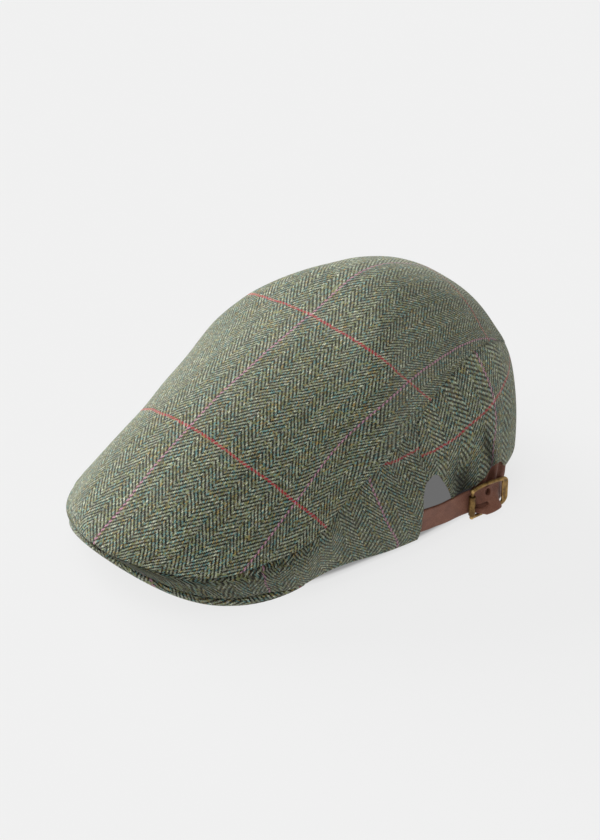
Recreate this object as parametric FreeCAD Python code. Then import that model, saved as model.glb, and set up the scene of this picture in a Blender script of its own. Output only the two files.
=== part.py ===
"""Tweed flat cap with a side adjuster: every sewn piece, the leather strap and its buckle.

Frame, in millimetres: +Z up, the peak points along -Y, the wearer's left is +X.
The origin is the middle of the head opening, in the plane that the cap rests on.
"""
import FreeCAD, Part
import math
import os
from FreeCAD import Vector

# ---------------------------------------------------------------- driving dimensions
# Guide curves of the left half, from the front centre to the rear centre. Point number
# n of each curve belongs to the same cross-section of the cap.
CENTRE_LINE = [  # y, z along the top of the crown
    (-168, 27), (-151, 41), (-128, 58), (-98, 77), (-63, 95), (-27, 109),
    (1, 122), (25, 127), (58, 118), (90, 94), (111, 56),
]
TOP_SEAM = [  # x, y, z of the seam round the top panel
    (0, -168, 27), (36, -158, 26), (61, -135, 24), (71, -107, 27), (76, -80, 33), (75, -57, 48),
    (76, -28, 63), (63, 14, 78), (49, 64, 86), (31, 99, 67), (0, 111, 56),
]
RIM = [  # x, y, z of the lower outline: the peak's edge in front, the hem behind it
    (0, -166, 19.5), (28, -161, 16), (50, -148, 9), (63, -125, 1.4), (71, -95, 0.9), (71, -60, 2.5),
    (75, -16, -0.7), (73, 31, -0.7), (64, 70, -0.7), (34, 88, -0.7), (0, 93, -0.7),
]
FALL_ANGLES = [61, 57, 55, 58, 69, 80, 80, 59, 55, 65, 63]   # degrees below level, at the top seam
CROWN_FULLNESS = 0.58      # how far the top panel runs level before it falls to its seam
RIB_FULLNESS = 0.36        # length of the tangents at the seam and the rim
RIM_TUCK = 20.0            # degrees that the wall leans out from the rim

CLOTH = 1.6                # tweed with its fused backing
LINING = 0.8
BAND = 1.2                 # sweatband
GAP = 0.3                  # between layers that don't touch
LINING_DEPTH_TOP = 1.9     # lining's outer face below the outer face of the cap, at the top seam
LINING_DEPTH_RIM = 5.0     # the same at the hem, where the strap end lies between the layers
LINING_STEP = (0.2, 0.65)  # depths on the wall between which the lining goes from one to the other
LINING_FRONT = 0.40        # sections where the crown lining and the side linings start
LINING_SIDE_START = 0.47
LINING_BOTTOM = 0.97       # the lining stops short of the hem
LINING_TRIM = 0.0015       # section left free at each edge of a lining piece, against its neighbour
CLOTH_TRIM = 0.0003        # the same for the tweed
FOREHEAD_SECTION = 1.0 / 3.0   # section where the forehead lining's foot ends, on the sweatband

PEAK_THICKNESS = 4.8       # board with both covers
PEAK_COVER = 1.2
PEAK_CORNER = 0.40         # section where the peak ends, along the rim
HEM_DROP_START = 0.405     # the hem starts to come down to the rim at this section
PEAK_FADE = 0.055          # and comes down over this length behind the peak
PEAK_INNER_WIDTH = 66.0    # half width and depth of the oval that the peak is cut to inside
PEAK_INNER_DEPTH = 25.0
PEAK_INNER_Y = -72.0
PEAK_INNER_RISE = 20.0     # arch of the peak's inner edge
PEAK_CORNER_Z = 3.0
PEAK_END_TRIM = 0.004      # section left free between the peak's end and the side panels
HEM_CLEARANCE = 0.5        # between the peak and the hem above it

BAND_HEIGHT = 28.0
HEAD_OPENING = [  # x, y, z of the sweatband's outer face, at its lower edge
    (0, -96, 25), (34, -91, 19), (58, -79, 9), (65.5, -61, 4), (68.3, -30, 2), (69, -5, 1.5),
    (67, 25, 1.5), (58.5, 61, 1.5), (31, 80, 1.5), (0, 86, 1.5),
]
BAND_LEFT_END = 0.53       # the band stops at each side of the notch, as a share of its half length
BAND_REAR_END = 0.66

# Side seams and the notch, as (depth from the top seam to the hem, section)
SIDE_SEAM_TO_NOTCH = [(0, 0.6625), (0.23, 0.647), (0.36, 0.647), (0.43, 0.652)]
NOTCH_FRONT = [(0.445, 0.640), (0.49, 0.634), (0.565, 0.628), (0.67, 0.625), (0.77, 0.6215), (1.0, 0.620)]
NOTCH_REAR = [(0.4675, 0.659), (0.54, 0.662), (0.635, 0.666), (0.725, 0.670), (0.76, 0.672)]
SIDE_SEAM_RIGHT = [(0, 0.6625), (0.23, 0.647), (0.5, 0.646), (1.0, 0.640)]
REAR_HEM = [
    (0.672, 0.76), (0.705, 0.785), (0.725, 0.75), (0.738, 0.695), (0.755, 0.705), (0.785, 0.84),
    (0.81, 0.92), (0.86, 1.0),
]

# Strap: y, x at the lower edge, x at the upper edge, z of both edges
STRAP_ROUTE = [
    (-28, 71.6, 75.3, 2.6, 18.6), (-6, 72.9, 76.1, 2.6, 18.4), (8, 74.6, 76.4, 2.6, 17.6),
    (20, 75.5, 76.1, 2.8, 17.1), (30, 76.0, 76.0, 2.9, 16.9), (42, 77.7, 77.7, 2.9, 16.9),
    (53, 75.2, 75.2, 2.9, 16.9), (60, 71.8, 71.8, 2.9, 16.9),
]
STRAP_THICKNESS = 1.6
STRAP_HOLE_RADIUS = 2.0
STRAP_HOLE = (42.0, 13.2)            # y, z
TAB_SPAN = (0.708, 0.776)            # sections where the pleated tab starts and ends
TAB_BOTTOM = 0.775                   # depths on the wall of its lower edge and its two upper corners
TAB_TOP = (0.72, 0.62)
TAB_THICKNESS = 1.0
TAB_PLEATS = 4
TAB_PLEAT_DEPTH = 0.4
TAB_TOP_RUN = 1.5                    # the upper edge reaches its rear height before the tab's end

PIN = Vector(79.5, 29.7, 9.9)        # middle of the buckle's hinge pin, which stands along Z
PIN_RADIUS = 0.9
PIN_HALF_LENGTH = 8.2
BALL_RADIUS = 1.25
BARREL_RADIUS = 1.9
BARREL_BORE = 1.0
BARREL_Z = (-6.4, 5.0)               # ends of the rolled barrel, from the middle of the pin
TONGUE_RADIUS = 0.8
TONGUE_Z = -2.5
FRAME_LENGTH = 27.3                  # pin to the outer edge of the bar
FRAME_HALF_HEIGHT = 8.9
FRAME_BAR = 4.6
FRAME_ARM = 2.0
FRAME_THICKNESS = 2.2
FRAME_ARM_BOW = 0.5
FRAME_CORNER = 4.5                   # outer radius between an arm and the bar
BAR_HOLLOW_RADIUS = 5.0              # the bar's outer face is hollow
BAR_HOLLOW_DEPTH = 0.7
PIN_CLEARANCE = 0.03
TONGUE_ROOT = Vector(-0.5, 1.2, 0)   # ends of the tongue's middle line, from the pin
TONGUE_TIP = Vector(-3.4, 7.0, 0)
TONGUE_TAPER = 0.75
SLOT_HALF_HEIGHT = 1.3
SLOT_LENGTH = (1.2, 9.5)             # from the pin, along the strap

FRONT = 0.006                        # the top panel's grid starts and ends this close to the centres
SIDE_COLUMNS = 34
REAR_COLUMNS = 60
TOP_COLUMNS = 44
PEAK_COLUMNS = 35
BAND_COLUMNS = 64
FOREHEAD_COLUMNS = 31
LEATHER_COLUMNS = 41
ROWS = 21
PEAK_ROWS = 7
NARROW_ROWS = 5
CUTTER = 40.0                        # length of a cutter that goes right through a piece


# ---------------------------------------------------------------- curves
def natural_spline(values, level_ends):
    """Cubic through evenly spaced values; level_ends makes the slope zero at both ends."""
    last = len(values) - 1
    below = [0.0] + [1.0] * (last - 1) + [1.0 if level_ends else 0.0]
    above = [1.0 if level_ends else 0.0] + [1.0] * (last - 1) + [0.0]
    diagonal = [2.0 if level_ends else 1.0] + [4.0] * (last - 1) + [2.0 if level_ends else 1.0]
    right = [0.0] * (last + 1)
    for i in range(1, last):
        right[i] = 6.0 * (values[i + 1] - 2.0 * values[i] + values[i - 1])
    if level_ends:
        right[0] = 6.0 * (values[1] - values[0])
        right[last] = 6.0 * (values[last - 1] - values[last])
    for i in range(1, last + 1):
        factor = below[i] / diagonal[i - 1]
        diagonal[i] -= factor * above[i - 1]
        right[i] -= factor * right[i - 1]
    bend = [0.0] * (last + 1)
    bend[last] = right[last] / diagonal[last]
    for i in range(last - 1, -1, -1):
        bend[i] = (right[i] - above[i] * bend[i + 1]) / diagonal[i]

    def value(share):
        place = min(max(share, 0.0), 1.0) * last
        i = min(int(place), last - 1)
        u = place - i
        v = 1.0 - u
        curve = (v ** 3 - v) * bend[i] + (u ** 3 - u) * bend[i + 1]
        return v * values[i] + u * values[i + 1] + curve / 6.0
    return value


def guide(points, kinds):
    """One spline per column of a guide curve; kinds holds 'level' or 'free' for each column."""
    return [natural_spline([p[k] for p in points], kinds[k] == "level") for k in range(len(kinds))]


def table_slopes(table):
    """Slope at each row of a table that keeps the curve between its rows from overshooting."""
    steps = [(vb - va) / (b - a) for (a, va), (b, vb) in zip(table[:-1], table[1:])]
    slopes = [steps[0]]
    for before, after in zip(steps[:-1], steps[1:]):
        turning = before * after <= 0.0
        slopes.append(0.0 if turning else 2.0 * before * after / (before + after))
    return slopes + [steps[-1]]


def along(table, place):
    """Smooth curve through a table of (place, value) rows."""
    place = min(max(place, table[0][0]), table[-1][0])
    slopes = table_slopes(table)
    i = 0
    while i < len(table) - 2 and place > table[i + 1][0]:
        i += 1
    (a, va), (b, vb) = table[i], table[i + 1]
    run = b - a
    u = (place - a) / run
    v = 1.0 - u
    start = (1.0 + 2.0 * u) * v * v * va + u * v * v * run * slopes[i]
    end = (1.0 + 2.0 * v) * u * u * vb - u * u * v * run * slopes[i + 1]
    return start + end


def smooth(x):
    x = min(max(x, 0.0), 1.0)
    return x * x * (3.0 - 2.0 * x)


CENTRE = guide(CENTRE_LINE, ["level", "free"])
SEAM = guide(TOP_SEAM, ["free", "level", "level"])
EDGE = guide(RIM, ["free", "level", "level"])
FALL = natural_spline(FALL_ANGLES, True)
OPENING = guide(HEAD_OPENING, ["free", "level", "level"])
STRAP = guide(STRAP_ROUTE, ["free"] * 5)


def centre_point(s):
    return Vector(0, CENTRE[0](s), CENTRE[1](s))


def seam_point(s):
    return Vector(SEAM[0](s), SEAM[1](s), SEAM[2](s))


def rim_point(s):
    return Vector(EDGE[0](s), EDGE[1](s), EDGE[2](s))


def hem_point(s):
    """Lower edge of the wall: on the rim, and above the peak in front."""
    lift = (PEAK_THICKNESS + HEM_CLEARANCE) * (1.0 - smooth((s - HEM_DROP_START) / PEAK_FADE))
    return rim_point(s) + Vector(0, 0, lift)


def outward(s):
    """Unit vector in plan, square to the top seam."""
    step = 0.001
    run = seam_point(min(s + step, 1.0)) - seam_point(max(s - step, 0.0))
    if s < step:
        return Vector(0, -1, 0)
    if s > 1.0 - step:
        return Vector(0, 1, 0)
    flat = Vector(run.y, -run.x, 0)
    return flat.normalize()


def bezier(a, b, c, d, t):
    u = 1.0 - t
    return a * u ** 3 + b * (3 * u * u * t) + c * (3 * u * t * t) + d * t ** 3


def fall_direction(s):
    angle = math.radians(FALL(s))
    return outward(s) * math.cos(angle) - Vector(0, 0, math.sin(angle))


def mirrored(point):
    return Vector(-point.x, point.y, point.z)


# ---------------------------------------------------------------- surfaces of the cap
def crown(s, w):
    """Top panel: section s, and w from -1 at the right seam to 1 at the left seam."""
    top = centre_point(s)
    seam = seam_point(s)
    reach = top.distanceToPoint(seam)
    shoulder = top + Vector(CROWN_FULLNESS * seam.x, 0, 0)
    point = bezier(top, shoulder, seam - fall_direction(s) * (RIB_FULLNESS * reach), seam, abs(w))
    return mirrored(point) if w < 0 else point


def wall(q, t):
    """Wall under the top panel: q runs from 0 at the front, by the left side and the rear
    (at 1), to 2 at the front again; t from 0 at the top seam to 1 at the lower edge."""
    if q > 1.0:
        return mirrored(wall(2.0 - q, t))
    seam = seam_point(q)
    hem = hem_point(q)
    reach = RIB_FULLNESS * seam.distanceToPoint(hem)
    tuck = math.radians(RIM_TUCK)
    lean = outward(q) * math.sin(tuck) + Vector(0, 0, math.cos(tuck))
    return bezier(seam, seam + fall_direction(q) * reach, hem + lean * reach, hem, t)


def peak_inner(s):
    """Inner edge of the peak, at the forehead."""
    angle = s / PEAK_CORNER * math.pi / 2.0
    x = PEAK_INNER_WIDTH * math.sin(angle)
    y = PEAK_INNER_Y - PEAK_INNER_DEPTH * math.cos(angle)
    return Vector(x, y, PEAK_CORNER_Z + PEAK_INNER_RISE * math.cos(angle) ** 2)


def peak(s, v):
    """Underside of the peak: s from -PEAK_CORNER to PEAK_CORNER, v from its edge to the forehead."""
    point = rim_point(abs(s)) * (1.0 - v) + peak_inner(abs(s)) * v
    return mirrored(point) if s < 0 else point


def inner_normal(surface, a, b):
    """Unit normal of a surface, pointing into the cap."""
    step = 0.002
    across = surface(a + step, b) - surface(a - step, b)
    down = surface(a, b + step) - surface(a, b - step)
    normal = across.cross(down).normalize()
    point = surface(a, b)
    inside = Vector(0, min(max(point.y, -60.0), 60.0), 20) - point
    return normal if normal.dot(inside) > 0 else normal * -1.0


# ---------------------------------------------------------------- solids
def face_through(grid):
    surface = Part.BSplineSurface()
    surface.interpolate(grid)
    return surface


def slab(outer, inner):
    """Closed solid between two grids of points of the same size."""
    faces = [face_through(outer), face_through(inner)]
    parts = [surface.toShape() for surface in faces]
    edges = []
    for surface in faces:
        u0, u1, v0, v1 = surface.bounds()
        edges.append([surface.uIso(u0), surface.uIso(u1), surface.vIso(v0), surface.vIso(v1)])
    for first, second in zip(*edges):
        parts.append(Part.makeRuledSurface(first.toShape(), second.toShape()))
    shell = Part.makeShell(parts)
    shell.sewShape()
    solid = Part.makeSolid(shell)
    if solid.Volume < 0:
        solid.reverse()
    return solid


def layer(surface, places, depth, thickness):
    """Sheet of the given thickness under a surface, at a depth that is a function of the place."""
    outer = []
    inner = []
    for row in places:
        outer.append([])
        inner.append([])
        for a, b in row:
            point = surface(a, b)
            normal = inner_normal(surface, a, b)
            outer[-1].append(point + normal * depth(a, b))
            inner[-1].append(point + normal * (depth(a, b) + thickness))
    return slab(outer, inner)


def shares(count):
    return [i / (count - 1) for i in range(count)]


def top_places(first, last):
    return [[(first + (last - first) * u, 2.0 * v - 1.0) for v in shares(ROWS)] for u in shares(TOP_COLUMNS)]


def side_places(front, rear_edge, right_side, trim, bottom=1.0):
    """Places of a side panel from the section `front` back to rear_edge, a table by depth."""
    rows = []
    for u in shares(SIDE_COLUMNS):
        rows.append([])
        for t in shares(ROWS):
            q = front + (along(rear_edge, t) - trim - front) * u
            rows[-1].append((2.0 - q if right_side else q, t * bottom))
    return rows


def rear_places(trim, bottom=1.0):
    """Places of the back panel, from the notch round to the seam on the right."""
    front_edge = SIDE_SEAM_TO_NOTCH + NOTCH_REAR
    lowest = NOTCH_REAR[-1][0]
    rows = []
    for u in shares(REAR_COLUMNS):
        rows.append([])
        for share in shares(ROWS):
            start = along(front_edge, share * lowest) + trim
            end = 2.0 - along(SIDE_SEAM_RIGHT, share) - trim
            q = start + (end - start) * u
            rows[-1].append((q, share * along(REAR_HEM, q) * bottom))
    return rows


def outer_face(_, __):
    return 0.0


def lining_depth(_, t):
    first, last = LINING_STEP
    return LINING_DEPTH_TOP + (LINING_DEPTH_RIM - LINING_DEPTH_TOP) * smooth((t - first) / (last - first))


def crown_lining_depth(_, __):
    return LINING_DEPTH_TOP


def peak_layer(low, high):
    """Part of the peak between two heights above its underside."""
    end = PEAK_CORNER - PEAK_END_TRIM
    lower = []
    upper = []
    for u in shares(PEAK_COLUMNS):
        s = end * (2.0 * u - 1.0)
        lower.append([peak(s, v) + Vector(0, 0, low) for v in shares(PEAK_ROWS)])
        upper.append([peak(s, v) + Vector(0, 0, high) for v in shares(PEAK_ROWS)])
    return slab(lower, upper)


def band_point(q, inset, height):
    """Sweatband: q as for the wall, inset towards the head, height above the lower edge."""
    if q > 1.0:
        return mirrored(band_point(2.0 - q, inset, height))
    step = 0.001
    low = max(q - step, 0.0)
    high = min(q + step, 1.0)
    run = Vector(OPENING[0](high) - OPENING[0](low), OPENING[1](high) - OPENING[1](low), 0)
    inward = Vector(-run.y, run.x, 0).normalize()
    if q < step:
        inward = Vector(0, 1, 0)
    if q > 1.0 - step:
        inward = Vector(0, -1, 0)
    return Vector(OPENING[0](q), OPENING[1](q), OPENING[2](q) + height) + inward * inset


def sweatband():
    """One strip from the front of the notch, round the forehead, to the rear of the notch."""
    outer = []
    inner = []
    for u in shares(BAND_COLUMNS):
        q = BAND_LEFT_END + (BAND_REAR_END - 2.0 - BAND_LEFT_END) * u
        outer.append([])
        inner.append([])
        for v in shares(NARROW_ROWS):
            for grid, inset in ((outer, 0.0), (inner, BAND)):
                point = band_point(abs(q), inset, BAND_HEIGHT * v)
                grid[-1].append(mirrored(point) if q < 0 else point)
    return slab(outer, inner)


def lining_front():
    """Short wall from the sweatband up to the crown lining, behind the forehead."""
    s = LINING_FRONT
    places = []
    for u in shares(FOREHEAD_COLUMNS):
        w = 2.0 * u - 1.0
        top = crown(s, w) + inner_normal(crown, s, w) * (LINING_DEPTH_TOP + LINING)
        foot = band_point(abs(w) * FOREHEAD_SECTION, -LINING - GAP, BAND_HEIGHT + GAP)
        foot = mirrored(foot) if w < 0 else foot
        places.append((foot, top - Vector(0, 0, GAP)))
    outer = [[foot + (top - foot) * v for v in shares(NARROW_ROWS)] for foot, top in places]
    inner = [[point + Vector(0, LINING, 0) for point in row] for row in outer]
    return slab(outer, inner)


# ---------------------------------------------------------------- strap and buckle
def strap_point(share, across, offset):
    """Point of the strap: share of its length, across its width, offset from its middle layer."""
    y, low_x, high_x, low_z, high_z = [curve(share) for curve in STRAP]
    step = 0.01
    ahead = min(share + step, 1.0)
    behind = max(share - step, 0.0)
    slope = (STRAP[1](ahead) - STRAP[1](behind)) / (STRAP[0](ahead) - STRAP[0](behind))
    outwards = Vector(1, -slope, 0).normalize()
    middle = Vector(low_x + (high_x - low_x) * across, y, low_z + (high_z - low_z) * across)
    return middle + outwards * offset


def strap():
    """Leather strap with a long slot for the tongue and an eyelet nearer its end."""
    outer, inner = [
        [[strap_point(u, v, offset) for v in shares(NARROW_ROWS)] for u in shares(LEATHER_COLUMNS)]
        for offset in (STRAP_THICKNESS / 2.0, -STRAP_THICKNESS / 2.0)]
    along_x = Vector(1, 0, 0)
    start_x = PIN.x - CUTTER / 2.0
    near, far = SLOT_LENGTH
    corner = Vector(start_x, PIN.y + near, PIN.z + TONGUE_Z - SLOT_HALF_HEIGHT)
    slot = Part.makeBox(CUTTER, far - near, 2.0 * SLOT_HALF_HEIGHT, corner)
    for end in (near, far):
        place = Vector(start_x, PIN.y + end, PIN.z + TONGUE_Z)
        slot = slot.fuse(Part.makeCylinder(SLOT_HALF_HEIGHT, CUTTER, place, along_x))
    hole = Part.makeCylinder(STRAP_HOLE_RADIUS, CUTTER, Vector(start_x, *STRAP_HOLE), along_x)
    return slab(outer, inner).cut(slot).cut(hole)


def strap_tab():
    """Pleated leather that joins the strap to the gathered hem of the back panel."""
    front, rear = TAB_SPAN
    places = []
    for u in shares(LEATHER_COLUMNS):
        top = TAB_TOP[0] + (TAB_TOP[1] - TAB_TOP[0]) * smooth(TAB_TOP_RUN * u)
        q = front + (rear - front) * u
        places.append([(q, TAB_BOTTOM + (top - TAB_BOTTOM) * v) for v in shares(NARROW_ROWS)])

    def pleats(q, _):
        turn = 2.0 * math.pi * TAB_PLEATS * (q - front) / (rear - front)
        return CLOTH + GAP + TAB_PLEAT_DEPTH * (1.0 + math.sin(turn))
    return layer(wall, places, pleats, TAB_THICKNESS)


def buckle_pin():
    return Part.makeCylinder(PIN_RADIUS, 2 * PIN_HALF_LENGTH, PIN - Vector(0, 0, PIN_HALF_LENGTH))


def frame_outline(near, grow):
    """Solid inside the frame's outline; grow moves the outline out from the opening, by up to
    the width of an arm."""
    x = PIN.x - FRAME_THICKNESS / 2.0
    pin_half = PIN_HALF_LENGTH - FRAME_ARM / 2.0 + grow
    bar_half = FRAME_HALF_HEIGHT - FRAME_ARM + grow
    far = PIN.y + FRAME_LENGTH - FRAME_BAR + grow * FRAME_BAR / FRAME_ARM
    turn = FRAME_CORNER - FRAME_ARM + grow
    corner_cut = turn * (1.0 - math.sqrt(0.5))
    arm_half = (pin_half + bar_half) / 2.0 + FRAME_ARM_BOW
    up, down = [
        [
            Vector(x, near, PIN.z + side * pin_half),
            Vector(x, (near + far - turn) / 2.0, PIN.z + side * arm_half),
            Vector(x, far - turn, PIN.z + side * bar_half),
            Vector(x, far - corner_cut, PIN.z + side * (bar_half - corner_cut)),
            Vector(x, far, PIN.z + side * (bar_half - turn)),
        ]
        for side in (1, -1)]
    edges = [
        Part.Arc(*up[0:3]).toShape(),
        Part.Arc(*up[2:5]).toShape(),
        Part.LineSegment(up[4], down[4]).toShape(),
        Part.Arc(*down[4:1:-1]).toShape(),
        Part.Arc(*down[2::-1]).toShape(),
        Part.LineSegment(down[0], up[0]).toShape(),
    ]
    return Part.Face(Part.Wire(edges)).extrude(Vector(FRAME_THICKNESS, 0, 0))


def buckle_frame():
    """D-shaped frame in the YZ plane: ball ends on the pin, two bowed arms and a broad bar."""
    past_pin = PIN.y - 2.0 * BALL_RADIUS
    body = frame_outline(PIN.y, FRAME_ARM).cut(frame_outline(past_pin, 0.0))
    hollow_x = PIN.x + FRAME_THICKNESS / 2.0 + BAR_HOLLOW_RADIUS - BAR_HOLLOW_DEPTH
    hollow_y = PIN.y + FRAME_LENGTH - FRAME_BAR / 2.0
    hollow_foot = Vector(hollow_x, hollow_y, PIN.z - CUTTER / 2.0)
    body = body.cut(Part.makeCylinder(BAR_HOLLOW_RADIUS, CUTTER, hollow_foot))
    for side in (1, -1):
        body = body.fuse(Part.makeSphere(BALL_RADIUS, PIN + Vector(0, 0, side * PIN_HALF_LENGTH)))
    bore_foot = PIN - Vector(0, 0, CUTTER / 2.0)
    return body.cut(Part.makeCylinder(PIN_RADIUS + PIN_CLEARANCE, CUTTER, bore_foot))


def buckle_prong():
    """Rolled barrel round the pin, with a short tongue that dips into the strap's slot."""
    low, high = BARREL_Z
    foot = PIN + Vector(0, 0, low)
    barrel = Part.makeCylinder(BARREL_RADIUS, high - low, foot)
    root = PIN + TONGUE_ROOT + Vector(0, 0, TONGUE_Z)
    tip = PIN + TONGUE_TIP + Vector(0, 0, TONGUE_Z)
    run = tip - root
    tip_radius = TONGUE_RADIUS * TONGUE_TAPER
    tongue = Part.makeCone(TONGUE_RADIUS, tip_radius, run.Length, root, run)
    tongue = tongue.fuse(Part.makeSphere(tip_radius, tip))
    bore = Part.makeCylinder(BARREL_BORE, high - low, foot)
    return barrel.fuse(tongue).cut(bore)


def standing_flat(solid):
    """Trim what is below the plane that the cap rests on."""
    reach = 200.0
    below = Part.makeBox(2.0 * reach, 2.0 * reach, reach, Vector(-reach, -reach, -reach))
    return solid.cut(below).Solids[0]


# ---------------------------------------------------------------- the assembly
def tweed_pieces():
    left = side_places(0.0, SIDE_SEAM_TO_NOTCH + NOTCH_FRONT, False, CLOTH_TRIM)
    right = side_places(0.0, SIDE_SEAM_RIGHT, True, CLOTH_TRIM)
    return {
        "top_panel": layer(crown, top_places(FRONT, 1.0 - FRONT), outer_face, CLOTH),
        "side_panel_left": standing_flat(layer(wall, left, outer_face, CLOTH)),
        "side_panel_right": standing_flat(layer(wall, right, outer_face, CLOTH)),
        "back_panel": standing_flat(layer(wall, rear_places(CLOTH_TRIM), outer_face, CLOTH)),
    }


def peak_pieces():
    cover = PEAK_COVER
    return {
        "peak_cover_bottom": peak_layer(0.0, cover),
        "peak_board": peak_layer(cover, PEAK_THICKNESS - cover),
        "peak_cover_top": peak_layer(PEAK_THICKNESS - cover, PEAK_THICKNESS),
    }


def inner_pieces():
    left_edge = SIDE_SEAM_TO_NOTCH + NOTCH_FRONT
    left = side_places(LINING_SIDE_START, left_edge, False, LINING_TRIM, LINING_BOTTOM)
    right = side_places(LINING_SIDE_START, SIDE_SEAM_RIGHT, True, LINING_TRIM, LINING_BOTTOM)
    back = rear_places(LINING_TRIM, LINING_BOTTOM)
    return {
        "lining_top": layer(crown, top_places(LINING_FRONT, 1.0 - FRONT), crown_lining_depth, LINING),
        "lining_left": layer(wall, left, lining_depth, LINING),
        "lining_right": layer(wall, right, lining_depth, LINING),
        "lining_back": layer(wall, back, lining_depth, LINING),
        "lining_front": lining_front(),
        "sweatband": sweatband(),
    }


def adjuster_pieces():
    return {
        "strap": strap(),
        "strap_tab": strap_tab(),
        "buckle_pin": buckle_pin(),
        "buckle_frame": buckle_frame(),
        "buckle_prong": buckle_prong(),
    }


os.makedirs("parts", exist_ok=True)
for group in (tweed_pieces(), peak_pieces(), inner_pieces(), adjuster_pieces()):
    for name, shape in group.items():
        print(name, "valid:", shape.isValid(), "volume: %.0f mm3" % shape.Volume)
        shape.exportStep("parts/%s.step" % name)
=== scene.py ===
import math

import bmesh
import bpy
import numpy as np
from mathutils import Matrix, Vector


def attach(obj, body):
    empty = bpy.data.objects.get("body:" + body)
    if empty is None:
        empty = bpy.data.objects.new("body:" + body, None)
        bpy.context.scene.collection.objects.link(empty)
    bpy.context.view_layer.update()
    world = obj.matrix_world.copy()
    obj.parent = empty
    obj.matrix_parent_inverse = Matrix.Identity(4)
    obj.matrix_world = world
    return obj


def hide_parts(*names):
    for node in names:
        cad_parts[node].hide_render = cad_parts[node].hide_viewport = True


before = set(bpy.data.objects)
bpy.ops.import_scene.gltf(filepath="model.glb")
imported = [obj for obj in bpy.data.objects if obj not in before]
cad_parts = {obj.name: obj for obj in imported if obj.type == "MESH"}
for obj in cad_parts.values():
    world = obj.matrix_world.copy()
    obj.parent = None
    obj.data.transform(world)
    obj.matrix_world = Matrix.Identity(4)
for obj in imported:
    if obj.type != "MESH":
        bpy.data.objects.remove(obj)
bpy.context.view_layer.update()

MM = 0.001
SAME_PLACE = 2e-6          # metres; points closer than this become one

# ---------------- sizes of the CAD part
# Changed for the looks: BAND_REAR_END, TAB_BOTTOM, TAB_TOP, TAB_PLEAT_DEPTH and TAB_PLEATS.
CENTRE_LINE = [
    (-168, 27), (-151, 41), (-128, 58), (-98, 77), (-63, 95), (-27, 109),
    (1, 122), (25, 127), (58, 118), (90, 94), (111, 56),
]
TOP_SEAM = [
    (0, -168, 27), (36, -158, 26), (61, -135, 24), (71, -107, 27), (76, -80, 33), (75, -57, 48),
    (76, -28, 63), (63, 14, 78), (49, 64, 86), (31, 99, 67), (0, 111, 56),
]
RIM = [
    (0, -166, 19.5), (28, -161, 16), (50, -148, 9), (63, -125, 1.4), (71, -95, 0.9), (71, -60, 2.5),
    (75, -16, -0.7), (73, 31, -0.7), (64, 70, -0.7), (34, 88, -0.7), (0, 93, -0.7),
]
FALL_ANGLES = [61, 57, 55, 58, 69, 80, 80, 59, 55, 65, 63]
CROWN_FULLNESS = 0.58
RIB_FULLNESS = 0.36
RIM_TUCK = 20.0
CLOTH = 1.6
LINING = 0.8
BAND = 1.2
GAP = 0.3
LINING_DEPTH_TOP = 1.9
LINING_DEPTH_RIM = 5.0
LINING_FRONT = 0.40
LINING_SIDE_START = 0.47
PEAK_THICKNESS = 4.8
PEAK_COVER = 1.2
PEAK_CORNER = 0.40
PEAK_INNER_WIDTH = 66.0
PEAK_INNER_DEPTH = 25.0
PEAK_INNER_Y = -72.0
PEAK_INNER_RISE = 20.0
PEAK_CORNER_Z = 3.0
BAND_HEIGHT = 28.0
HEAD_OPENING = [
    (0, -96, 25), (34, -91, 19), (58, -79, 9), (65.5, -61, 4), (68.3, -30, 2), (69, -5, 1.5),
    (67, 25, 1.5), (58.5, 61, 1.5), (31, 80, 1.5), (0, 86, 1.5),
]
BAND_LEFT_END = 0.53
BAND_REAR_END = 0.672
SIDE_SEAM_TO_NOTCH = [(0, 0.6625), (0.23, 0.647), (0.36, 0.647), (0.43, 0.652)]
NOTCH_FRONT = [(0.445, 0.640), (0.49, 0.634), (0.565, 0.628), (0.67, 0.625), (0.77, 0.6215), (1.0, 0.620)]
NOTCH_REAR = [(0.4675, 0.659), (0.54, 0.662), (0.635, 0.666), (0.725, 0.670), (0.76, 0.672)]
SIDE_SEAM_RIGHT = [(0, 0.6625), (0.23, 0.647), (0.5, 0.646), (1.0, 0.640)]
REAR_HEM = [
    (0.672, 0.76), (0.705, 0.785), (0.725, 0.75), (0.738, 0.695), (0.755, 0.705), (0.785, 0.84),
    (0.81, 0.92), (0.86, 1.0),
]
STRAP_ROUTE = [
    (-28, 71.6, 75.3, 2.6, 18.6), (-6, 72.9, 76.1, 2.6, 18.4), (8, 74.6, 76.4, 2.6, 17.6),
    (20, 75.5, 76.1, 2.8, 17.1), (30, 76.0, 76.0, 2.9, 16.9), (42, 77.7, 77.7, 2.9, 16.9),
    (53, 75.2, 75.2, 2.9, 16.9), (60, 71.8, 71.8, 2.9, 16.9),
]
STRAP_THICKNESS = 1.6
STRAP_HOLE = (42.0, 13.2)
STRAP_HOLE_RADIUS = 2.0
TAB_SPAN = (0.708, 0.776)
TAB_BOTTOM = 0.89
TAB_TOP = (0.76, 0.61)
TAB_SPREAD = 0.015           # the tab widens by this towards its lower edge
TAB_PLEAT_DEPTH = 1.3
TAB_THICKNESS = 1.0
TAB_PLEATS = 3
PIN = (79.5, 29.7, 9.9)
TONGUE_Z = -2.5
SLOT_HALF_HEIGHT = 1.3
SLOT_LENGTH = (1.2, 9.5)
FRAME_LENGTH = 27.3
FRAME_BAR = 4.6
FRAME_HALF_HEIGHT = 8.9
PIN_HALF_LENGTH = 8.2
BALL_RADIUS = 1.25

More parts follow.
